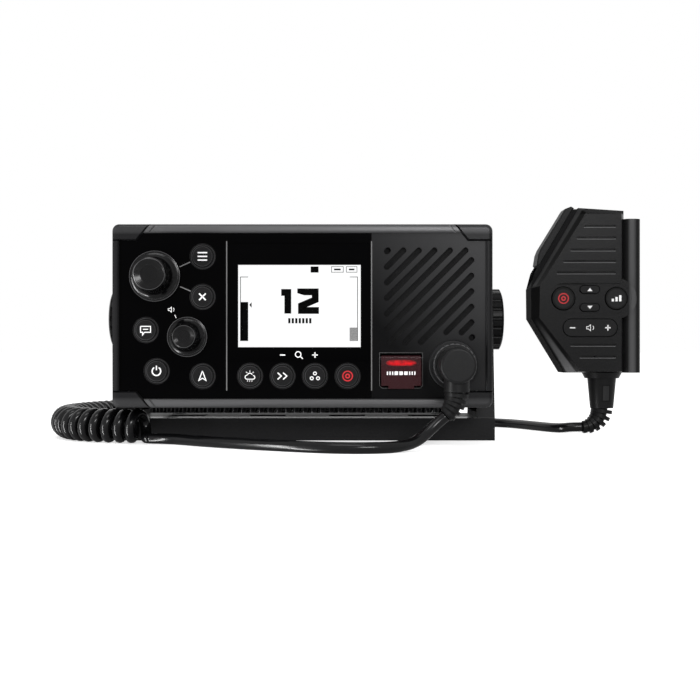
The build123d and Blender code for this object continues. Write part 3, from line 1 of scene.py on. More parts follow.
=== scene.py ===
import bpy
import numpy as np
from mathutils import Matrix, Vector


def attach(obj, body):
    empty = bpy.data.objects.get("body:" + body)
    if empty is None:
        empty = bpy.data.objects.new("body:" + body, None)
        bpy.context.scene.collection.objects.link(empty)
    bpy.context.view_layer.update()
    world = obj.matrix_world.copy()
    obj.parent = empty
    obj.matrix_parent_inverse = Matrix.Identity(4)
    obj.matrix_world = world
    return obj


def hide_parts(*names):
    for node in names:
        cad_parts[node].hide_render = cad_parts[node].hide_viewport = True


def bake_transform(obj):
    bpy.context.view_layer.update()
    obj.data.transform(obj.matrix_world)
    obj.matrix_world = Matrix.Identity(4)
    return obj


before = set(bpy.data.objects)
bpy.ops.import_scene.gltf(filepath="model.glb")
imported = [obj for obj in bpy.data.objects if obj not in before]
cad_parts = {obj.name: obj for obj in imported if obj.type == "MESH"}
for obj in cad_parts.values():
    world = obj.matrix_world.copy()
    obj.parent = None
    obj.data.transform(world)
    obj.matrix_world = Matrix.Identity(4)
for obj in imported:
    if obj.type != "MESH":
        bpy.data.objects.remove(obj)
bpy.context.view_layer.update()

# ---------------------------------------------------------------- camera, table and lamps
# The set stands on a plain white table in a white room. The camera looks straight at its front
# from 60 cm, a hand's breadth above the table and a little right of the set's middle.
eye = bpy.data.objects.new("eye", bpy.data.cameras.new("eye"))
bpy.context.scene.collection.objects.link(eye)
bpy.context.scene.camera = eye
eye.data.sensor_width = 36
eye.data.lens = 57.04
eye.location = (0.0258, -0.670, 0.0525)
eye.rotation_euler = (np.pi / 2, 0, 0)
eye.data.clip_start = 0.01
eye.data.clip_end = 50
bpy.context.scene.view_settings.view_transform = "Standard"


class Tap:
    """One output of a node. Arithmetic and comparison on it add Math nodes."""

    def __init__(self, web, socket):
        self.web = web
        self.socket = socket

    def __add__(self, other):
        return self.web.maths("ADD", self, other)

    def __sub__(self, other):
        return self.web.maths("SUBTRACT", self, other)

    def __rsub__(self, other):
        return self.web.maths("SUBTRACT", other, self)

    def __mul__(self, other):
        return self.web.maths("MULTIPLY", self, other)

    def __truediv__(self, other):
        return self.web.maths("DIVIDE", self, other)

    def __gt__(self, other):
        return self.web.maths("GREATER_THAN", self, other)

    def __lt__(self, other):
        return self.web.maths("LESS_THAN", self, other)

    def __abs__(self):
        return self.web.maths("ABSOLUTE", self)

    __radd__ = __add__
    __rmul__ = __mul__

    def near(self, middle, half):
        """1 within half of the middle, 0 elsewhere."""
        return abs(self - middle) < half

    def crest(self, middle, half):
        """1 less the square of the distance from the middle over half, and never below 0."""
        off = (self - middle) / half
        return self.web.maths("MAXIMUM", 1 - off * off, 0.0)


class Web:
    """The nodes of the world or of a material, and the links between them."""

    def __init__(self, tree):
        self.nodes = tree.nodes
        self.links = tree.links

    def put(self, socket, value):
        """A number, a colour or a tap goes into a socket."""
        if isinstance(value, Tap):
            self.links.new(value.socket, socket)
        elif isinstance(value, tuple) and len(value) == 3 and socket.type == "RGBA":
            socket.default_value = (*value, 1)
        else:
            socket.default_value = value

    def node(self, kind, settings, values, output=0):
        """Adds a node: its settings first, then the values or links of its sockets."""
        made = self.nodes.new(kind)
        for key, value in settings.items():
            setattr(made, key, value)
        for key, value in values.items():
            self.put(made.inputs[key], value)
        return Tap(self, made.outputs[output])

    def maths(self, operation, *values):
        return self.node("ShaderNodeMath", {"operation": operation}, dict(enumerate(values)))


class Finish(Web):
    """A material made of one Principled shader and the nodes that feed it."""

    def __init__(self, name, **constants):
        self.material = bpy.data.materials.new(name)
        self.material.use_nodes = True
        super().__init__(self.material.node_tree)
        self.shader = self.nodes["Principled BSDF"]
        self.feed(**constants)

    def feed(self, **values):
        """The shader's sockets of these names take these values."""
        for key, value in values.items():
            name = key.replace("_", " ")
            self.put(next(s for s in self.shader.inputs if s.name.lower() == name), value)

    def point(self):
        """The point on the object, in metres."""
        return self.node("ShaderNodeTexCoord", {}, {}, "Object")

    def axes(self):
        """The three coordinates of the point, each a tap."""
        split = self.nodes.new("ShaderNodeSeparateXYZ")
        self.put(split.inputs[0], self.point())
        return [Tap(self, socket) for socket in split.outputs]

    def grain(self, size, detail=2.0, stretch=(1.0, 1.0, 1.0)):
        """Noise from 0 to 1 whose lumps are about this size in metres."""
        mapped = self.node("ShaderNodeMapping", {}, {"Vector": self.point(), "Scale": stretch})
        values = {"Vector": mapped, "Scale": 1 / size, "Detail": detail}
        return self.node("ShaderNodeTexNoise", {}, values)

    def between(self, factor, first, second):
        """Colour mixed from the first to the second by the factor."""
        return self.node("ShaderNodeMix", {"data_type": "RGBA"}, {0: factor, 6: first, 7: second}, 2)

    def relief(self, height, depth):
        """Bump of this depth in metres, into the shader's Normal."""
        self.feed(normal=self.node("ShaderNodeBump", {}, {"Height": height, "Distance": depth}))

    def skin(self, size, dark, pale, depth=None, detail=2.0, stretch=(1.0, 1.0, 1.0)):
        """Colour mottled from dark to pale by a grain, which is the relief too if it has a depth."""
        grain = self.grain(size, detail, stretch)
        if depth is not None:
            self.relief(grain, depth)
        return self.between(grain, dark, pale)

    def second_coat(self, factor, **values):
        """Another Principled shader, fed with these values, shows where the factor is 1."""
        first = self.shader
        self.shader = self.nodes.new("ShaderNodeBsdfPrincipled")
        self.feed(**values)
        mixed = self.nodes.new("ShaderNodeMixShader")
        self.put(mixed.inputs[0], factor)
        self.links.new(first.outputs[0], mixed.inputs[1])
        self.links.new(self.shader.outputs[0], mixed.inputs[2])
        self.links.new(mixed.outputs[0], self.nodes["Material Output"].inputs["Surface"])


def dress(finish, *nodes):
    """Gives CAD nodes this finish in place of their plain one."""
    for node in nodes:
        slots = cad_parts[node].data.materials
        slots.clear()
        slots.append(finish.material)


def new_piece(name, points, faces, finish, smooth=True):
    """An object from points in metres and faces of any size, with its finish."""
    mesh = bpy.data.meshes.new(name)
    mesh.from_pydata(np.asarray(points, dtype=float).tolist(), [], [list(face) for face in faces])
    mesh.update()
    mesh.materials.append(finish.material)
    mesh.polygons.foreach_set("use_smooth", np.full(len(mesh.polygons), smooth))
    piece = bpy.data.objects.new(name, mesh)
    bpy.context.scene.collection.objects.link(piece)
    return piece


TABLE_REACH = 20.0
TABLE_GLOW = 0.6
table_corners = np.array([(-1, -1, 0), (1, -1, 0), (1, 1, 0), (-1, 1, 0)]) * TABLE_REACH
table_top = Finish("table_top", base_color=(0.86, 0.86, 0.86), roughness=0.9, specular_ior_level=0.0)
seen = table_top.node("ShaderNodeLightPath", {}, {}, "Is Camera Ray")
table_top.feed(emission_color=(1.0, 1.0, 1.0), emission_strength=seen * TABLE_GLOW)
table = new_piece("table", table_corners, [(0, 1, 2, 3)], table_top)

ROOM_LEVEL = 0.65  # the room's light on the object, where its walls are seen as 1
room = bpy.data.worlds.new("room")
bpy.context.scene.world = room
room.use_nodes = True
walls = Web(room.node_tree)
by_eye, in_gloss, through_glass = (
    walls.node("ShaderNodeLightPath", {}, {}, f"Is {ray} Ray")
    for ray in ("Camera", "Glossy", "Transmission")
)
shown = walls.maths("MAXIMUM", walls.maths("MAXIMUM", by_eye, in_gloss), through_glass)
background = walls.nodes["Background"]
walls.put(background.inputs["Color"], (1, 1, 1))
walls.put(background.inputs["Strength"], ROOM_LEVEL + (1 - ROOM_LEVEL) * shown)

for lamp_name, stand, target, width, height, power in (
    ("front_lamp", (0.30, -1.15, 0.40), (0.0, 0.0, 0.07), 0.45, 0.20, 7.0),
    ("top_lamp", (-0.15, -0.60, 1.00), (0.0, 0.0, 0.07), 0.60, 0.30, 3.0),
    ("strip_lamp", (-0.60, -0.40, -0.25), (-0.05, -0.06, 0.07), 0.06, 0.80, 9.0),
    ("back_lamp", (0.0, 0.80, 0.90), (0.0, 0.0, 0.08), 1.0, 0.4, 2.0),
):
    lamp = bpy.data.objects.new(lamp_name, bpy.data.lights.new(lamp_name, "AREA"))
    bpy.context.scene.collection.objects.link(lamp)
    lamp.data.shape = "RECTANGLE"
    lamp.data.size = width
    lamp.data.size_y = height
    lamp.data.energy = power
    lamp.location = stand
    lamp.rotation_euler = (Vector(target) - Vector(stand)).to_track_quat("-Z", "Y").to_euler()

# The strip lamp stands low at the left, most of it below the table's top, and shines through it.
lets_through = bpy.data.collections.new("lets_through")
lets_through.objects.link(table)
lets_through.collection_objects[0].light_linking.link_state = "EXCLUDE"
bpy.data.objects["strip_lamp"].light_linking.blocker_collection = lets_through

# ---------------------------------------------------------------- lead
# One rubber-jacketed wire, 6 mm thick. It runs bare from the plug's boot to the front left corner,
# is wound there into a springy coil that bends round behind the set, and runs bare again into the
# boot of the hand microphone.
WIRE = 0.006
COIL_OUTER = 0.0196
COIL_PITCH = 0.00705
RUN_IN = 0.006  # length over which the turning starts and ends
TIGHTER = 0.13  # how much tighter the coil is wound behind the set
BEHIND_FROM, BEHIND_OVER = 0.03, 0.03  # where along Y that begins, and over what distance
BARE_STEP, COIL_STEP = 0.0015, 0.0003
FRONT_ROUTE = [
    (0.07634, -0.08900, 0.01824), (0.06983, -0.08900, 0.01278), (0.0615, -0.0945, 0.0052),
    (0.0510, -0.1045, 0.003), (0.0370, -0.1105, 0.003), (0.0200, -0.1100, 0.003),
    (0.0025, -0.1030, 0.003), (-0.0150, -0.0935, 0.003), (-0.0320, -0.0835, 0.003),
    (-0.0490, -0.0725, 0.003), (-0.0635, -0.0605, 0.003), (-0.0750, -0.0512, 0.003),
    (-0.0870, -0.0480, 0.003),
]
COIL_ROUTE = [
    (-0.0870, -0.0480, 0.0098), (-0.1090, -0.0440, 0.0098), (-0.1270, -0.0340, 0.0098),
    (-0.1395, -0.0185, 0.0098), (-0.1455, 0.0010, 0.0098), (-0.1445, 0.0230, 0.0098),
    (-0.1390, 0.0450, 0.0098), (-0.1285, 0.0670, 0.0098), (-0.1120, 0.0870, 0.0098),
    (-0.0900, 0.1015, 0.0098), (-0.0640, 0.1095, 0.0098), (-0.0360, 0.1130, 0.0098),
    (-0.0080, 0.1145, 0.0098), (0.0200, 0.1130, 0.0098), (0.0480, 0.1125, 0.0098),
    (0.0780, 0.1090, 0.0098), (0.1010, 0.1000, 0.0098),
]
REAR_ROUTE = [
    (0.1010, 0.1000, 0.003), (0.1105, 0.0962, 0.003), (0.1225, 0.0880, 0.003),
    (0.1340, 0.0790, 0.003), (0.1415, 0.0660, 0.003), (0.1475, 0.0530, 0.003),
    (0.1530, 0.0420, 0.003), (0.1585, 0.0340, 0.003), (0.1655, 0.0300, 0.004),
    (0.1726, 0.0300, 0.004),
]


def grained(name, size, dark, pale, depth=None, detail=2.0, stretch=(1.0, 1.0, 1.0), **constants):
    """A finish with a mottled skin and nothing else."""
    finish = Finish(name, **constants)
    finish.feed(base_color=finish.skin(size, dark, pale, depth, detail, stretch))
    return finish


def smooth_line(name, route, step):
    """Points about one step apart on a NURBS spline of order 3 with the route as control points,
    and how far along it each of them is."""
    curve = bpy.data.curves.new(name, "CURVE")
    curve.dimensions = "3D"
    spline = curve.splines.new("NURBS")
    spline.points.add(len(route) - 1)
    spline.points.foreach_set("co", np.column_stack([route, np.ones(len(route))]).ravel())
    spline.order_u = 3
    spline.use_endpoint_u = True
    spline.resolution_u = 16
    carrier = bpy.data.objects.new(name, curve)
    bpy.context.scene.collection.objects.link(carrier)
    bpy.context.view_layer.update()
    mesh = bpy.data.meshes.new_from_object(carrier)
    points = np.empty(len(mesh.vertices) * 3)
    mesh.vertices.foreach_get("co", points)
    bpy.data.objects.remove(carrier)
    points = points.reshape(-1, 3)
    run = np.append(0, np.cumsum(np.linalg.norm(np.diff(points, axis=0), axis=1)))
    along = np.linspace(0, run[-1], int(round(run[-1] / step)) + 1)
    return along, np.column_stack([np.interp(along, run, points[:, axis]) for axis in range(3)])


def unit(vectors):
    return vectors / np.linalg.norm(vectors, axis=-1, keepdims=True)


def round_wire(name, points, aim, finish, sides=16):
    """The wire along a line: at each point a ring, half of WIRE * (cos a * first + sin a *
    second), where first is aim made square to the line and second is the line's direction
    crossed with first."""
    tangent = unit(np.gradient(points, axis=0))
    first = unit(aim - (aim * tangent).sum(axis=1)[:, None] * tangent)
    second = np.cross(tangent, first)
    turn = np.linspace(0, 2 * np.pi, sides, endpoint=False)[None, :, None]
    around = np.cos(turn) * first[:, None] + np.sin(turn) * second[:, None]
    grid = points[:, None] + WIRE / 2 * around
    row, column = np.meshgrid(np.arange(len(points) - 1) * sides, np.arange(sides), indexing="ij")
    beside = (column + 1) % sides
    quads = np.stack([row + column, row + beside, row + sides + beside, row + sides + column], axis=-1)
    last = (len(points) - 1) * sides
    caps = [np.arange(sides)[::-1].tolist(), (last + np.arange(sides)).tolist()]
    return new_piece(name, grid.reshape(-1, 3), quads.reshape(-1, 4).tolist() + caps, finish)


lead_rubber = grained(
    "lead_rubber", size=0.0011, dark=(0.002, 0.002, 0.0022), pale=(0.004, 0.004, 0.0045),
    depth=0.000004, roughness=0.18, specular_ior_level=0.20,
)

# The wound length circles the route's line once per pitch. It starts and ends below that line,
# and circles slowly near both ends, so that it runs on into the bare wire.
up = np.array([[0, 0, 1.0]])
along, middle = smooth_line("coil_line", COIL_ROUTE, COIL_STEP)
pace = np.clip(np.minimum(along, along[-1] - along) / RUN_IN, 0, 1)
behind = np.clip((middle[:, 1] - BEHIND_FROM) / BEHIND_OVER, 0, 1)
pace = pace * pace * (3 - 2 * pace) * (1 + TIGHTER * behind)
circled = np.append(0, np.cumsum((pace[1:] + pace[:-1]) / 2 * np.diff(along)))
angle = circled[:, None] / circled[-1] * 2 * np.pi * round(circled[-1] / COIL_PITCH)
across = unit(np.cross(np.gradient(middle, axis=0), up))
outward = np.sin(angle) * across - np.cos(angle) * up
wound = middle + (COIL_OUTER - WIRE) / 2 * outward
curly_lead = round_wire("curly_lead", wound, outward, lead_rubber, sides=12)
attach(curly_lead, "bracket")
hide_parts("cord_curly")

_, front_line = smooth_line("front_line", FRONT_ROUTE, BARE_STEP)
front_lead = round_wire("front_lead", front_line, up, lead_rubber)
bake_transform(front_lead)
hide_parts("cord_front")

_, rear_line = smooth_line("rear_line", REAR_ROUTE, BARE_STEP)
rear_lead = round_wire("rear_lead", rear_line, up, lead_rubber)
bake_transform(rear_lead)
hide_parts("cord_rear")

# ---------------------------------------------------------------- bracket
# The gimbal bracket is one moulding of glass-filled nylon, hollow below, with a fine spark texture
# that is smoother on the front part of its deck. Rubber washers lie between its arms and the
# radio's bosses, and the fascia's gasket and the keypad's mat are of the same rubber.
DECK_TOP, DECK_PART = 0.013, -0.012
bracket_moulding = Finish("bracket_moulding", specular_ior_level=0.08)
_, y, z = bracket_moulding.axes()
smooth_deck = z.near(DECK_TOP, 0.0002) * (y < DECK_PART)
bracket_moulding.feed(
    base_color=bracket_moulding.skin(
        0.0008, (0.003, 0.003, 0.0033), (0.010, 0.010, 0.0105), depth=0.00005, detail=4.0),
    roughness=0.46 - 0.20 * smooth_deck,
)
dress(bracket_moulding, "bracket")

washer_rubber = grained(
    "washer_rubber", size=0.0006, dark=(0.010, 0.010, 0.010), pale=(0.022, 0.022, 0.022),
    depth=0.00003, roughness=0.7,
)
dress(washer_rubber, "pivot_washers", "front_gasket", "keypad_mat")

# ---------------------------------------------------------------- clamp knobs
# Two domed nylon knobs with grip flutes round the rim, each moulded over the head of a stud.
grip_moulding = grained(
    "grip_moulding", size=0.0007, dark=(0.0015, 0.0015, 0.0016), pale=(0.004, 0.004, 0.0043),
    depth=0.00003, detail=3.0, roughness=0.34, specular_ior_level=0.08,
)
dress(grip_moulding, "left_clamp_knob", "right_clamp_knob")

# ---------------------------------------------------------------- fascia and corner caps
# A satin black moulding with crowned rails round a sunk panel, which is polished as far as the
# display reaches, and fine matt round the loudspeaker, with a painted sheen there that grows
# paler to the upper right. The top and bottom rails' crowns carry a painted highlight, paler and
# half metallic. Two thin grey lines are printed beside the display. Four caps of the rails'
# finish, with a fainter painted highlight, hide the corner screws.
TILT_AXIS_Z = 0.071
PANEL_FRONT = -0.0685
PANEL_HALF = (0.0993, 0.0449)
PANEL_SLACK = 0.0004  # the panel's finish reaches this far in front of it
RAIL_CROWN, RAIL_HALF = 0.0473, 0.0032  # from the tilt axis, and half a rail's height
CROWN_BACK = -0.066
LEFT_RAIL_BACK = -0.060
LINE_PLACES = (-0.04107, 0.03751)
LINE_HALF = (0.0003, 0.0405)
PAINTED_SHEEN_ACROSS, PAINTED_SHEEN_UP = 9, 7  # growth of the matt part's painted sheen per metre


def rail_finish(name, painted_crown_highlight_colour):
    """Satin black with a painted highlight, paler and half metallic, along the crowns of the top
    and bottom rails. The left rail is rougher."""
    finish = Finish(name, specular_ior_level=0.09)
    x, y, z = finish.axes()
    # crown: where the painted highlight lies, strongest along the middle of each rail's crown
    crown = abs(z - TILT_AXIS_Z).crest(RAIL_CROWN, RAIL_HALF) * (y < CROWN_BACK)
    left_rail = (x < -PANEL_HALF[0]) * (y < LEFT_RAIL_BACK)
    black = finish.skin(
        0.0005, (0.004, 0.004, 0.0045), (0.008, 0.008, 0.0085), depth=0.00002, detail=3.0)
    finish.feed(
        base_color=finish.between(crown, black, painted_crown_highlight_colour),
        metallic=crown * 0.5,
        roughness=0.34 + 0.4 * left_rail,
    )
    return finish


# The corner caps take the rails' painted crown highlight, fainter than the fascia's.
dress(rail_finish("rail_satin", (0.030, 0.030, 0.031)), "corner_caps")

fascia_finish = rail_finish("fascia_finish", (0.075, 0.075, 0.077))
x, y, z = fascia_finish.axes()
height = z - TILT_AXIS_Z
on_panel = (abs(x) < PANEL_HALF[0]) * (abs(height) < PANEL_HALF[1])
on_panel = on_panel * (y > PANEL_FRONT - PANEL_SLACK)
matt_part = x > LINE_PLACES[1]
lines = sum(x.near(place, LINE_HALF[0]) for place in LINE_PLACES) * (abs(height) < LINE_HALF[1])
# A painted sheen on the matt part round the loudspeaker, paler to the upper right.
painted_sheen = (x - LINE_PLACES[1]) * PAINTED_SHEEN_ACROSS + height * PAINTED_SHEEN_UP
matt_black_with_painted_sheen = fascia_finish.between(
    fascia_finish.maths("MAXIMUM", painted_sheen, 0.0), (0.003, 0.003, 0.0032), (0.040, 0.040, 0.041))
panel_colour = fascia_finish.between(matt_part, (0.0004, 0.0004, 0.0005), matt_black_with_painted_sheen)
fascia_finish.second_coat(
    on_panel,
    base_color=fascia_finish.between(lines * on_panel, panel_colour, (0.11, 0.11, 0.11)),
    roughness=0.12 + 0.38 * matt_part,
    specular_ior_level=0.02,
)
dress(fascia_finish, "front_fascia")

# ---------------------------------------------------------------- screws, pins and inserts
# Turned steel screws with hexagon sockets, stainless shafts and push plates, a blackened hinge pin
# and microphone can, and brass inserts pressed into the housing's bosses.
turned_steel = grained(
    "turned_steel", size=0.0004, dark=(0.38, 0.38, 0.39), pale=(0.56, 0.56, 0.57),
    depth=0.00001, detail=3.0, stretch=(1.0, 6.0, 1.0), metallic=1.0, roughness=0.32,
)
dress(turned_steel, "fascia_screws", "handset_screws", "channel_push_plate", "volume_push_plate",
      "channel_shaft", "volume_shaft")

black_oxide = grained(
    "black_oxide", size=0.0006, dark=(0.010, 0.010, 0.011), pale=(0.026, 0.026, 0.028),
    depth=0.00001, detail=3.0, metallic=1.0, roughness=0.4,
)
dress(black_oxide, "distress_cover_pin", "microphone_capsule")

insert_brass = grained(
    "insert_brass", size=0.0005, dark=(0.50, 0.34, 0.12), pale=(0.66, 0.48, 0.20),
    depth=0.00002, detail=3.0, stretch=(8.0, 1.0, 1.0), metallic=1.0, roughness=0.3,
)
dress(insert_brass, "pivot_inserts")

# ---------------------------------------------------------------- display
# A white backlit liquid crystal panel in a black frame, behind a clear polycarbonate window
# whose rim is printed black from behind. The picture is dark liquid crystal on white.
LCD_MIDDLE = (-0.0017, 0.0054)
LCD_HALF = (0.0333, 0.02235)
LCD_FACE = -0.0668
PICTURE_PLANE = -0.06695
DOT_RATE = 9000  # radians per metre, as for the knobs and the mesh below


def on_display(x, z):
    """1 where the lit picture is, 0 round it."""
    return x.near(LCD_MIDDLE[0], LCD_HALF[0]) * z.near(TILT_AXIS_Z + LCD_MIDDLE[1], LCD_HALF[1])


lcd_glow = Finish("lcd_glow", roughness=0.4, base_color=(0.004, 0.004, 0.004), emission_strength=1.0)
x, y, z = lcd_glow.axes()
white = lcd_glow.between(lcd_glow.grain(0.004, 1.0), (0.97, 0.98, 0.99), (1.0, 1.0, 1.0))
lit = on_display(x, z) * (y < LCD_FACE)
lcd_glow.feed(emission_color=lcd_glow.between(lit, (0.0, 0.0, 0.0), white))
dress(lcd_glow, "lcd_module")

window_clear = Finish("window_clear", roughness=0.08, specular_ior_level=0.02)
x, _, z = window_clear.axes()
window_clear.feed(
    base_color=window_clear.skin(
        0.02, (0.0003, 0.0003, 0.0004), (0.0006, 0.0006, 0.0007), detail=3.0),
    alpha=1 - 0.97 * on_display(x, z),
)
dress(window_clear, "display_window")


def chequer(finish, rate):
    """The sine of x times the sine of z, each coordinate times the rate: squares of plus and
    minus."""
    x, _, z = finish.axes()
    return finish.maths("SINE", x * rate) * finish.maths("SINE", z * rate)


def band(line, width, closed=False):
    """Flat band along a line in (x, z): at each corner the two edge points lie along the mitre,
    half a width over the cosine of half the turn away from the line."""
    line = np.asarray(line, dtype=float)
    if closed:
        before, after = line - np.roll(line, 1, axis=0), np.roll(line, -1, axis=0) - line
    else:
        step = np.diff(line, axis=0)
        before, after = np.vstack([step[:1], step]), np.vstack([step, step[-1:]])
    before, after = unit(before), unit(after)
    side = np.column_stack([-(before + after)[:, 1], (before + after)[:, 0]])
    side = side / (1 + (before * after).sum(axis=1))[:, None] * width / 2
    count = len(line)
    first = np.arange(count if closed else count - 1)
    second = (first + 1) % count
    quads = np.column_stack([first, second, second + count, first + count])
    return np.vstack([line - side, line + side]), quads.tolist()


def mark(name, body, finish, plane, bands=(), patches=()):
    """Print on a plane of this Y: bands as (line, width, closed) and filled outlines, in (x, z)."""
    points, faces = np.empty((0, 2)), []
    for line, width, closed in bands:
        more, quads = band(line, width, closed)
        faces += [[corner + len(points) for corner in quad] for quad in quads]
        points = np.vstack([points, more])
    for outline in patches:
        faces.append((np.arange(len(outline)) + len(points)).tolist())
        points = np.vstack([points, outline])
    placed = np.column_stack([points[:, 0], np.full(len(points), plane), points[:, 1]])
    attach(new_piece(name, placed, faces, finish, smooth=False), body)


def rectangle(low, high):
    return np.array([low, (high[0], low[1]), high, (low[0], high[1])], dtype=float)


def at(place, shape=(0, 0)):
    """A shape in millimetres round a place, or places alone, measured from the tilt axis."""
    return (np.asarray(shape, dtype=float) + place) / 1000 + (0, TILT_AXIS_Z)


crystal_dark = grained(
    "crystal_dark", size=0.001, dark=(0.0, 0.0, 0.0), pale=(0.004, 0.004, 0.004),
    roughness=0.5, specular_ior_level=0.0,
)
crystal_grey = Finish("crystal_grey", roughness=0.5, specular_ior_level=0.0, emission_strength=1.0)
dots = chequer(crystal_grey, DOT_RATE) > 0.0
crystal_grey.feed(
    base_color=(0.0, 0.0, 0.0),
    emission_color=crystal_grey.between(dots, (0.12, 0.12, 0.12), (0.5, 0.5, 0.5)),
)

DIGIT_LIFT = (0, 0.2)
DIGIT_STROKE = 0.0037
one = [(-11.6, 12.6), (-8.0, 12.6), (-8.0, 1.1)]
two = [(-1.0, 12.2), (-1.0, 12.9), (6.9, 12.9), (6.9, 8.6), (-0.6, 5.4), (-0.6, 2.8), (8.9, 2.8)]
mark("channel_number", "radio", crystal_dark, PICTURE_PLANE,
     bands=[(at(DIGIT_LIFT, digit), DIGIT_STROKE, False) for digit in (one, two)])

scale_lines = [
    (at([(-29.6, 21.2), (-33.75, 21.2), (-33.75, -13.6)]), 0.00035, False),
    (at([(25.6, 21.2), (29.9, 21.2), (29.9, -13.6)]), 0.00035, False),
]
for box_x, box_half, dash_half in ((18.95, 3.2, 1.8), (26.7, 2.9, 1.5)):
    box = rectangle((-box_half, -1.5), (box_half, 1.5))
    scale_lines.append((at((box_x, 25.3), box), 0.0003, True))
    scale_lines.append((at((box_x, 25.3), [(-dash_half, 0), (dash_half, 0)]), 0.0009, False))
scale_blocks = [
    rectangle((-33.75, -13.6), (-29.56, 7.6)),
    [(-28.9, 6.0), (-27.7, 4.5), (-27.7, 7.5)],
    rectangle((4.4, 23.6), (8.7, 26.9)),
]
for tick in range(7):
    scale_blocks.append(rectangle((1.9 * tick - 7.8, -4.0), (1.9 * tick - 6.6, -1.2)))
mark("display_scales", "radio", crystal_dark, PICTURE_PLANE, bands=scale_lines,
     patches=[at(block) for block in scale_blocks])
mark("display_level", "radio", crystal_grey, PICTURE_PLANE,
     patches=[at(rectangle((25.6, -13.6), (29.9, -6.3)))])

# ---------------------------------------------------------------- panel prints
# Screen prints on the panel: the enlarge row under the display and the mark over the volume knob
# in white, and the pointers beside the channel knob in grey.
PRINT_LIFT = 0.00004
PRINT_PLANE = PANEL_FRONT - PRINT_LIFT
RING_POINTS = 40


def ink(name, dark, pale, specular_ior_level=0.2):
    """Screen ink, a little uneven in its coat. It also makes the key rings' painted highlight."""
    return grained(
        name, size=0.0004, dark=dark, pale=pale, roughness=0.45,
        specular_ior_level=specular_ior_level)


def arc(centre, radius, start, stop, count):
    """Points along part of a circle in (x, z), both ends among them, angles in degrees."""
    turn = np.radians(np.linspace(start, stop, count))
    return np.column_stack([centre[0] + radius * np.cos(turn), centre[1] + radius * np.sin(turn)])


def ring(centre, radius):
    """Points round a whole circle in (x, z), with no point twice."""
    return arc(centre, radius, 0, 360, RING_POINTS + 1)[:-1]


white_print = ink("white_print", (0.62, 0.62, 0.62), (0.78, 0.78, 0.78))
grey_print = ink("grey_print", (0.10, 0.10, 0.10), (0.14, 0.14, 0.14))
mark("enlarge_print", "radio", white_print, PRINT_PLANE, bands=[
    (at((-10.8, -21.2), [(-1.4, 0), (1.4, 0)]), 0.0006, False),
    (at((6.8, -21.2), [(-1.5, 0), (1.5, 0)]), 0.0006, False),
    (at((6.8, -21.2), [(0, -1.5), (0, 1.5)]), 0.0006, False),
    (at((-2.3, -20.9), ring((0, 0), 1.5)), 0.0005, True),
    (at((-2.3, -20.9), [(1.1, -1.1), (2.5, -2.3)]), 0.0006, False),
])
mark("channel_pointers", "radio", grey_print, PRINT_PLANE, bands=[
    (at([(-66.6, 26.6), (-60.9, 29.2)]), 0.00055, False),
    (at([(-66.4, 15.9), (-60.6, 13.4)]), 0.00055, False),
])
horn = [(-1.6, -0.5), (-0.8, -0.5), (0.2, -1.4), (0.2, 1.4), (-0.8, 0.5), (-1.6, 0.5)]
mark("volume_print", "radio", white_print, PRINT_PLANE, bands=[
    (at((-71.2, 3.4), horn), 0.0003, True),
    (at((-71.2, 3.4), arc((0.3, 0), 1.3, -45, 45, 8)), 0.0003, False),
    (at([(-69.3, 0.6), (-68.4, -1.2)]), 0.0003, False),
])

# ---------------------------------------------------------------- panel keys
# Nine moulded rubber keys with a raised round cap, with painted highlights on the cap's rims and
# a painted shade, a black ring, at its step. A thin, faint grey ring round each key's hole is a
# painted highlight on the hole's chamfered edge, and each cap carries its own white sign; the
# calling key's sign is red.
CAP_FACE = PANEL_FRONT - 0.00104
CAP_RIM_HIGHLIGHTS = ((0.0053, 0.00015), (0.0063, 0.0002))  # radius and half width of the painted highlight lines
CAP_STEP_SHADE = (0.0058, 0.0003)
KEY_RING, KEY_RING_WIDTH = 7.0, 0.00016  # radius in millimetres, width of the line in metres
KEY_PLACES = {
    "menu_key": (-54.1, 32.2), "cancel_key": (-54.1, 10.3), "navigation_key": (-54.1, -32.7),
    "intercom_key": (-84.9, -7.7), "power_key": (-79.0, -30.0), "weather_key": (-28.4, -32.6),
    "scan_key": (-10.8, -32.6), "triple_watch_key": (6.8, -32.6),
    "calling_channel_key": (24.5, -32.6),
}
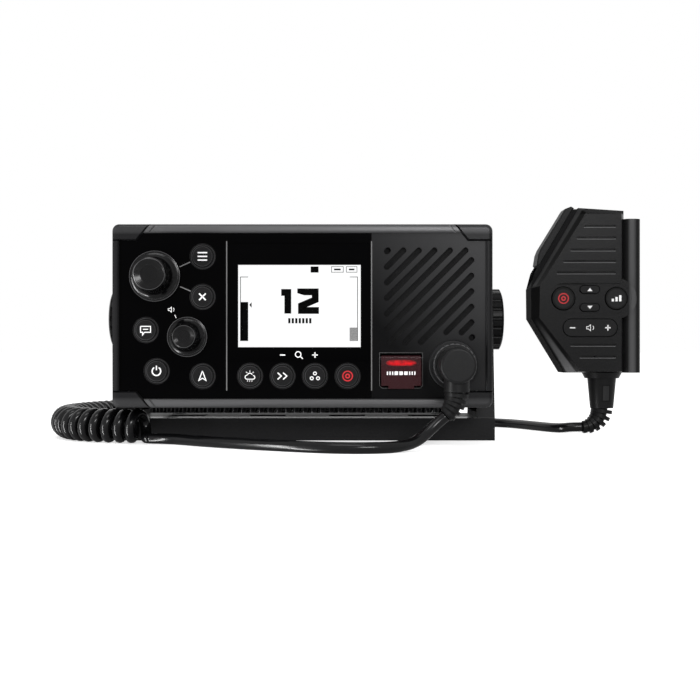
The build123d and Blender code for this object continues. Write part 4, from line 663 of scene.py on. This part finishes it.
KEY_SIGNS = {  # lines round the cap's middle and their widths, in millimetres
    "menu_key": [([(-2.6, up), (2.6, up)], 0.7) for up in (2.0, 0, -2.0)],
    "cancel_key": [([(-1.8, -up), (1.8, up)], 0.75) for up in (1.8, -1.8)],
    "intercom_key": [
        ([(-2.7, 2.0), (2.7, 2.0), (2.7, -1.2), (-0.6, -1.2), (-1.6, -2.6), (-1.6, -1.2),
          (-2.7, -1.2), (-2.7, 2.0)], 0.5),
        ([(-1.4, 0.4), (1.4, 0.4)], 0.5),
    ],
    "navigation_key": [([(0, 2.9), (1.9, -2.2), (0, -1.1), (-1.9, -2.2), (0, 2.9)], 0.5)],
    "power_key": [(arc((0, 0), 2.3, 122, 418, 30), 0.65), ([(0, 3.0), (0, 0.6)], 0.65)],
    "weather_key": [
        (arc((-1.5, -0.6), 1.1, 80, 270, 12), 0.45), ([(-1.5, -1.7), (1.7, -1.7)], 0.45),
        (arc((1.7, -0.7), 1.0, -90, 90, 10), 0.45), (arc((0, 0.3), 1.3, 20, 160, 12), 0.45),
        ([(0, 2.2), (0, 3.0)], 0.35), ([(-1.5, 1.7), (-2.0, 2.3)], 0.35),
        ([(1.5, 1.7), (2.0, 2.3)], 0.35),
        *[([(drop, -2.3), (drop - 0.2, -3.0)], 0.35) for drop in (-1.2, 0, 1.2)],
    ],
    "scan_key": [([(tip - 2.0, 1.8), (tip, 0), (tip - 2.0, -1.8)], 0.6) for tip in (-0.6, 2.4)],
    "triple_watch_key": [
        (ring(middle, 0.8), 0.5) for middle in ((0, 1.4), (-1.7, -1.2), (1.7, -1.2))
    ],
    "calling_channel_key": [(ring((0, 0), 2.6), 0.6), (ring((0, 0), 1.0), 0.7)],
}


def out_from(finish, place):
    """Distance from an axis along Y: the root of the squares of the distances across and up."""
    x, _, z = finish.axes()
    across, up = x - float(place[0]), z - float(place[1])
    return finish.maths("SQRT", across * across + up * up)


def rings_at(out, rings):
    """1 on the rings given by radius and half width, 0 elsewhere."""
    return sum(out.near(radius, half) for radius, half in rings)


def key_rubber(name, place):
    """Stippled rubber with painted highlights on the cap's rims and painted shade on its step."""
    finish = Finish(name, roughness=0.5, specular_ior_level=0.06)
    out = out_from(finish, place)
    cap = finish.skin(0.0005, (0.0010, 0.0010, 0.0011), (0.012, 0.012, 0.0123), depth=0.00003)
    with_rim_highlights = finish.between(rings_at(out, CAP_RIM_HIGHLIGHTS), cap, (0.030, 0.030, 0.031))
    finish.feed(base_color=finish.between(out.near(*CAP_STEP_SHADE), with_rim_highlights, (0.001, 0.001, 0.001)))
    return finish


red_print = ink("red_print", (0.34, 0.010, 0.013), (0.48, 0.015, 0.020))
for key, place in KEY_PLACES.items():
    dress(key_rubber(f"{key}_rubber", at(place)), key)
    # a line of as many points as a ring has is a ring, and closed
    bands = [(at(place, line), width / 1000, len(line) == RING_POINTS)
             for line, width in KEY_SIGNS[key]]
    mark(f"{key}_sign", key, red_print if key == "calling_channel_key" else white_print,
         CAP_FACE, bands=bands)

# The faint grey rings round the keys' holes are a painted highlight on the holes' chamfered edges.
painted_chamfer_highlight = ink("painted_chamfer_highlight", (0.016, 0.016, 0.0163), (0.028, 0.028, 0.0285), 0.05)
mark("key_rings", "radio", painted_chamfer_highlight, PRINT_PLANE,
     bands=[(at(ring(place, KEY_RING)), KEY_RING_WIDTH, True) for place in KEY_PLACES.values()])

# ---------------------------------------------------------------- turning knobs
# Two turned-looking mouldings in satin black, concave above a wide skirt, with a shallow dish on
# top and three fine cut edges, each with a painted highlight, a paler ring. They press onto steel
# shafts that come out of the rotary encoders.
TURNING_RATE = 9000
for knob, place, skirt, crown in (
    ("channel_knob", (-79.8, 21.4), 0.0137, 0.0088),
    ("volume_knob", (-62.2, -11.4), 0.0108, 0.0065),
):
    knob_satin = Finish(f"{knob}_satin", roughness=0.18, specular_ior_level=0.18)
    out = out_from(knob_satin, at(place))
    turned = knob_satin.maths("SINE", out * TURNING_RATE) * 0.5 + 0.5
    knob_black = knob_satin.between(
        turned * knob_satin.grain(0.003), (0.0005, 0.0005, 0.0006), (0.004, 0.004, 0.0043))
    # Painted highlights: paler rings along the skirt's edge, its step and the crown's rim.
    painted_edge_highlights = rings_at(out, ((skirt, 0.00025), (skirt - 0.0012, 0.0001), (crown - 0.0006, 0.00012)))
    knob_satin.feed(base_color=knob_satin.between(painted_edge_highlights, knob_black, (0.045, 0.045, 0.046)))
    knob_satin.relief(turned, 0.00001)
    dress(knob_satin, knob)

# ---------------------------------------------------------------- loudspeaker
# Woven steel mesh behind the slots, and a cone driver in a pressed basket behind the mesh.
WEAVE_RATE = 7500
mesh_weave = Finish("mesh_weave", roughness=0.55, specular_ior_level=0.08)
weave = chequer(mesh_weave, WEAVE_RATE)
mesh_weave.feed(base_color=mesh_weave.between(
    weave > 0.0, (0.0015, 0.0015, 0.0015), (0.016, 0.016, 0.0165)))
mesh_weave.relief(weave, 0.0001)
dress(mesh_weave, "speaker_mesh")

cone_paper = grained(
    "cone_paper", size=0.0007, dark=(0.010, 0.010, 0.010), pale=(0.030, 0.029, 0.028),
    depth=0.0001, detail=5.0, roughness=0.7,
)
dress(cone_paper, "speaker")

# ---------------------------------------------------------------- distress key
# A red rubber key at the bottom of a square well with a printed edge, under a spring-loaded flip
# cover of clear red polycarbonate. A bright red painted glow in the cover's upper part stands for
# light gathered in it, and the cover carries three short, three long and three short white bars.
WELL_PLACE = (53.5, -29.6)
WELL_OUTLINE = [
    (-11.7, 9.6), (-11.7, -8.2), (-10.3, -9.6), (10.3, -9.6), (11.7, -8.2), (11.7, 9.6),
]
COVER_FACE = -0.07045
PAINTED_GLOW_PLACE = (53.5, -25.5)
PAINTED_GLOW_HALF = (0.0085, 0.0018)
SHORT_BAR, LONG_BAR, BAR_GAP, BAR_HEIGHT = 0.7, 1.9, 0.7, 1.9
BARS_START = (45.7, -32.0)

mark("well_edge", "radio", grey_print, PRINT_PLANE,
     bands=[(at(WELL_PLACE, WELL_OUTLINE), 0.00012, True)])

cover_red = Finish("cover_red", roughness=0.16, specular_ior_level=0.1, alpha=0.93)
x, _, z = cover_red.axes()
painted_glow_x, painted_glow_z = at(PAINTED_GLOW_PLACE).tolist()
# The painted glow: bright red over an oval in the cover's upper part, broken up by the haze.
side, rise = (x - painted_glow_x) / PAINTED_GLOW_HALF[0], (z - painted_glow_z) / PAINTED_GLOW_HALF[1]
haze = cover_red.grain(0.0022, 3.0)
painted_glow = cover_red.maths("MAXIMUM", 1 - rise * rise - side * side * side * side, 0.0)
painted_glow = cover_red.maths("MAXIMUM", painted_glow * (haze * 2.4 - 0.4), 0.0)
clear_red = cover_red.between(haze, (0.018, 0.005, 0.006), (0.030, 0.008, 0.010))
cover_red.feed(base_color=cover_red.between(painted_glow, clear_red, (0.55, 0.008, 0.012)))
dress(cover_red, "distress_cover")

key_red = grained(
    "key_red", size=0.0004, dark=(0.30, 0.010, 0.015), pale=(0.45, 0.018, 0.025),
    depth=0.00003, detail=3.0, roughness=0.5, specular_ior_level=0.3,
)
dress(key_red, "distress_key")

bars, bar_x = [], 0.0
for bar in 3 * [SHORT_BAR] + 3 * [LONG_BAR] + 3 * [SHORT_BAR]:
    bars.append(at(BARS_START, rectangle((bar_x, 0), (bar_x + bar, BAR_HEIGHT))))
    bar_x += bar + BAR_GAP
mark("distress_bars", "distress_cover", white_print, COVER_FACE, patches=bars)

# ---------------------------------------------------------------- microphone socket and plug
# The socket is a black nylon bush. The plug is held in it by a bayonet collar with two paler
# rings, painted highlights on its edges, turns down at right angles, and ends its soft
# overmoulding in a ribbed boot.
PLUG_PLACE = (81.8, -26.6)
PAINTED_RING_HIGHLIGHTS = ((0.0131, 0.00025), (0.0113, 0.00025))

socket_nylon = grained(
    "socket_nylon", size=0.0006, dark=(0.003, 0.003, 0.0035), pale=(0.008, 0.008, 0.0085),
    depth=0.00002, detail=3.0, roughness=0.4, specular_ior_level=0.12,
)
dress(socket_nylon, "mic_socket", "power_gland")

collar_satin = Finish("collar_satin", roughness=0.20, specular_ior_level=0.25)
# Painted highlights: two paler rings on the collar's edges.
collar_highlights = rings_at(out_from(collar_satin, at(PLUG_PLACE)), PAINTED_RING_HIGHLIGHTS)
collar_black = collar_satin.skin(
    0.0006, (0.001, 0.001, 0.0011), (0.003, 0.003, 0.0033), depth=0.00001, detail=3.0)
collar_satin.feed(base_color=collar_satin.between(collar_highlights, collar_black, (0.060, 0.060, 0.062)))
dress(collar_satin, "plug_collar")

plug_rubber = grained(
    "plug_rubber", size=0.0007, dark=(0.004, 0.004, 0.0043), pale=(0.009, 0.009, 0.0093),
    depth=0.00003, detail=4.0, roughness=0.36, specular_ior_level=0.10,
)
dress(plug_rubber, "mic_plug", "plug_boot")

# ---------------------------------------------------------------- rear housing and heat sink
# Die-cast aluminium, powder-coated black with a fine orange-peel skin.
powder_coat = grained(
    "powder_coat", size=0.0009, dark=(0.008, 0.008, 0.009), pale=(0.016, 0.016, 0.017),
    depth=0.00006, detail=4.0, roughness=0.48, specular_ior_level=0.14,
)
dress(powder_coat, "rear_housing", "heatsink")

# ---------------------------------------------------------------- sockets on the back
# Nickel-plated brass, turned, with the antenna socket's flange held by the housing. The encoders'
# cans and the handset's hang-up button have the same plating.
socket_nickel = grained(
    "socket_nickel", size=0.0004, dark=(0.50, 0.49, 0.46), pale=(0.66, 0.65, 0.61),
    depth=0.00001, stretch=(1.0, 10.0, 1.0), metallic=1.0, roughness=0.25,
)
dress(socket_nickel, "antenna_socket", "network_socket", "encoders", "hang_button")

# ---------------------------------------------------------------- circuit boards
# Glass-fibre boards with green solder mask over copper runs.
solder_mask = Finish("solder_mask", roughness=0.35, specular_ior_level=0.5)
runs = solder_mask.grain(0.004, 1.0, (1.0, 1.0, 6.0)) > 0.52
solder_mask.feed(base_color=solder_mask.between(runs, (0.008, 0.070, 0.030), (0.020, 0.130, 0.055)))
solder_mask.relief(runs, 0.00003)
dress(solder_mask, "main_board", "front_board", "handset_board")

# ---------------------------------------------------------------- hand microphone's shells
# Two shells of textured black moulding, rougher on the side walls and the top. Painted highlights
# lie along the grip grooves' lower lips, the ridge on the right and the lower left bevel, and a
# dark band of painted shade and a pale band of painted highlight stand for the step along the
# upper left bevel.
HAND_X, HAND_BOTTOM = 184.6, 38.4  # millimetres, as are the next two
GRIP_GROOVES = (  # height and left end of each groove
    (90.5, -14.5), (83.3, -18.8), (75.9, -22.7), (68.8, -27.1), (61.8, -31.2), (17.2, -22.7),
    (9.9, -17.1),
)
GROOVE_RIGHT, LIP_DROP = 5.0, 0.75
LIP_HALF = 0.00022
FRONT_FACE, BEVEL_BACK, PARTING = 0.0148, 0.0206, 0.030  # places along Y
SHELL_TOP = 0.1366
RIDGE_X, RIDGE_HALF = 0.2006, 0.0028
LOW_BEVEL_TOP, LOW_BEVEL_RIGHT = 0.0720, 0.1700
PAINTED_STREAK_MIDDLE, PAINTED_STREAK_HALF = 0.0180, 0.0021
PAINTED_STREAK_GROWTH = 62  # growth of the lower bevel's painted highlight per metre downwards
HIGH_BEVEL_FOOT, HIGH_BEVEL_RIGHT, HIGH_BEVEL_FRONT = 0.0925, 0.1716, 0.0143
STEP_FRONT, STEP_BACK = 0.0174, 0.0178

shell_texture = Finish("shell_texture", specular_ior_level=0.06)
x, y, z = shell_texture.axes()
# Painted highlights: the grip grooves' lower lips, the ridge and the lower left bevel.
painted_lip_highlights = sum(
    z.near((HAND_BOTTOM + groove_z - LIP_DROP) / 1000, LIP_HALF)
    * (x > (HAND_X + groove_left) / 1000)
    for groove_z, groove_left in GRIP_GROOVES
)
painted_lip_highlights = painted_lip_highlights * (x < (HAND_X + GROOVE_RIGHT) / 1000) * (y < FRONT_FACE)
ridge_highlight = x.crest(RIDGE_X, RIDGE_HALF) * (y < PARTING)
low_bevel_highlight = (z < LOW_BEVEL_TOP) * (x < LOW_BEVEL_RIGHT) * (LOW_BEVEL_TOP - z) * PAINTED_STREAK_GROWTH
painted_highlights = shell_texture.maths("MAXIMUM", ridge_highlight * 0.5, painted_lip_highlights)
painted_highlights = shell_texture.maths("MAXIMUM", painted_highlights, y.crest(PAINTED_STREAK_MIDDLE, PAINTED_STREAK_HALF) * low_bevel_highlight)
high_bevel = (z > HIGH_BEVEL_FOOT) * (x < HIGH_BEVEL_RIGHT)
high_bevel = high_bevel * (y > HIGH_BEVEL_FRONT) * (y < BEVEL_BACK)
shell_black = shell_texture.skin(
    0.0006, (0.0040, 0.0040, 0.0042), (0.0105, 0.0105, 0.0108), depth=0.00005, detail=4.0)
# The upper left bevel's step: a band of painted shade, near black, and a pale band of painted
# highlight.
painted_step = shell_texture.between(high_bevel * (y < STEP_FRONT), shell_black, (0.0003, 0.0003, 0.0003))
painted_step = shell_texture.between(high_bevel * (y > STEP_BACK), painted_step, (0.024, 0.024, 0.0245))
shell_texture.feed(
    base_color=shell_texture.between(painted_highlights, painted_step, (0.10, 0.10, 0.102)),
    roughness=0.30 + 0.55 * shell_texture.maths("MAXIMUM", y > BEVEL_BACK, z > SHELL_TOP),
)
dress(shell_texture, "handset_front", "handset_back")

# ---------------------------------------------------------------- hand microphone's keys
# A press-to-talk bar down the slanted side, two small channel keys, a volume rocker and two round
# keys, moulded in stippled rubber; outside their pads the round keys are black, a painted shade
# for the gap round them. All but the bar have a printed sign.
HAND_PRINT, ROCKER_PRINT = 0.01406, 0.01376  # planes of the signs, just before the keys' faces
PAD_RADIUS = 0.0057
CALLING, LEVEL, ROCKER = (-27.1, 45.9), (5.6, 45.9), (-10.7, 27.8)
UP, DOWN = (-10.8, 51.3), (-10.8, 40.5)


def on_hand(place, shape=(0, 0)):
    """A shape in millimetres round a place, or a place alone, measured from the shell's bottom."""
    return (np.asarray(shape, dtype=float) + place + (HAND_X, HAND_BOTTOM)) / 1000


bar_grip = grained(
    "bar_grip", size=0.0006, dark=(0.009, 0.009, 0.0092), pale=(0.019, 0.019, 0.0193),
    depth=0.00005, detail=4.0, roughness=0.5, specular_ior_level=0.08,
)
dress(bar_grip, "ptt_key")

pad_rubber = grained(
    "pad_rubber", size=0.0005, dark=(0.002, 0.002, 0.0022), pale=(0.010, 0.010, 0.0103),
    depth=0.00002, detail=3.0, roughness=0.46, specular_ior_level=0.08,
)
dress(pad_rubber, "handset_channel_up_key", "handset_channel_down_key", "handset_volume_rocker")

for key, place in (("handset_calling_key", CALLING), ("handset_power_level_key", LEVEL)):
    round_pad = Finish(f"{key}_rubber", roughness=0.46, specular_ior_level=0.08)
    # Painted shade: black outside the pad, for the gap round the key.
    painted_gap_shade = out_from(round_pad, on_hand(place)) > PAD_RADIUS
    pad_black = round_pad.skin(
        0.0005, (0.003, 0.003, 0.0032), (0.012, 0.012, 0.0123), depth=0.00002, detail=3.0)
    round_pad.feed(base_color=round_pad.between(painted_gap_shade, pad_black, (0.0003, 0.0003, 0.0003)))
    dress(round_pad, key)

mark("hand_calling_sign", "handset_calling_key", red_print, HAND_PRINT, bands=[
    (on_hand(CALLING, ring((0, 0), 3.0)), 0.0007, True),
    (on_hand(CALLING, ring((0, 0), 1.1)), 0.0008, True),
])
mark("hand_level_sign", "handset_power_level_key", white_print, HAND_PRINT, patches=[
    on_hand(LEVEL, rectangle((-3.0, -1.8), (-1.6, -0.2))),
    on_hand(LEVEL, rectangle((-0.7, -1.8), (0.7, 0.9))),
    on_hand(LEVEL, rectangle((1.6, -1.8), (3.0, 2.0))),
])
mark("hand_up_sign", "handset_channel_up_key", white_print, HAND_PRINT,
     patches=[on_hand(UP, [(-1.6, -0.9), (1.6, -0.9), (0, 1.1)])])
mark("hand_down_sign", "handset_channel_down_key", white_print, HAND_PRINT,
     patches=[on_hand(DOWN, [(-1.6, 0.9), (0, -1.1), (1.6, 0.9)])])
hand_horn = [(-2.2, -0.7), (-1.2, -0.7), (0.2, -1.8), (0.2, 1.8), (-1.2, 0.7), (-2.2, 0.7)]
mark("hand_volume_signs", "handset_volume_rocker", white_print, ROCKER_PRINT, bands=[
    (on_hand(ROCKER, [(-12.6, 0), (-9.2, 0)]), 0.0007, False),
    (on_hand(ROCKER, [(9.2, 0), (12.6, 0)]), 0.0007, False),
    (on_hand(ROCKER, [(10.9, -1.7), (10.9, 1.7)]), 0.0007, False),
    (on_hand(ROCKER, hand_horn), 0.0004, True),
    (on_hand(ROCKER, arc((0.4, 0), 1.7, -45, 45, 8)), 0.0004, False),
])

# ---------------------------------------------------------------- hand microphone's boot
# The lead's boot is soft rubber overmoulded on the shell's gland. A small window on the front of
# its sleeve is shown by colour alone: black at its edge, a painted shade for the sunk rim, and
# paler inside.
SLEEVE_WINDOW = (0.1856, 0.0255)
WINDOW_EDGE, WINDOW_INSIDE = (0.0026, 0.0052), (0.0020, 0.0046)
# The window's black edge is painted shade.
EDGE_SHADE_BLACK, INSIDE_GREY = (0.0003, 0.0003, 0.0003), (0.016, 0.016, 0.0163)

boot_rubber = Finish("boot_rubber", roughness=0.36, specular_ior_level=0.10)
x, y, z = boot_rubber.axes()
boot_colour = boot_rubber.skin(
    0.0007, (0.003, 0.003, 0.0032), (0.007, 0.007, 0.0073), depth=0.00003, detail=4.0)
for half, colour in ((WINDOW_EDGE, EDGE_SHADE_BLACK), (WINDOW_INSIDE, INSIDE_GREY)):
    within = x.near(SLEEVE_WINDOW[0], half[0]) * z.near(SLEEVE_WINDOW[1], half[1])
    boot_colour = boot_rubber.between(within * (y < PARTING), boot_colour, colour)
boot_rubber.feed(base_color=boot_colour)
dress(boot_rubber, "handset_boot")
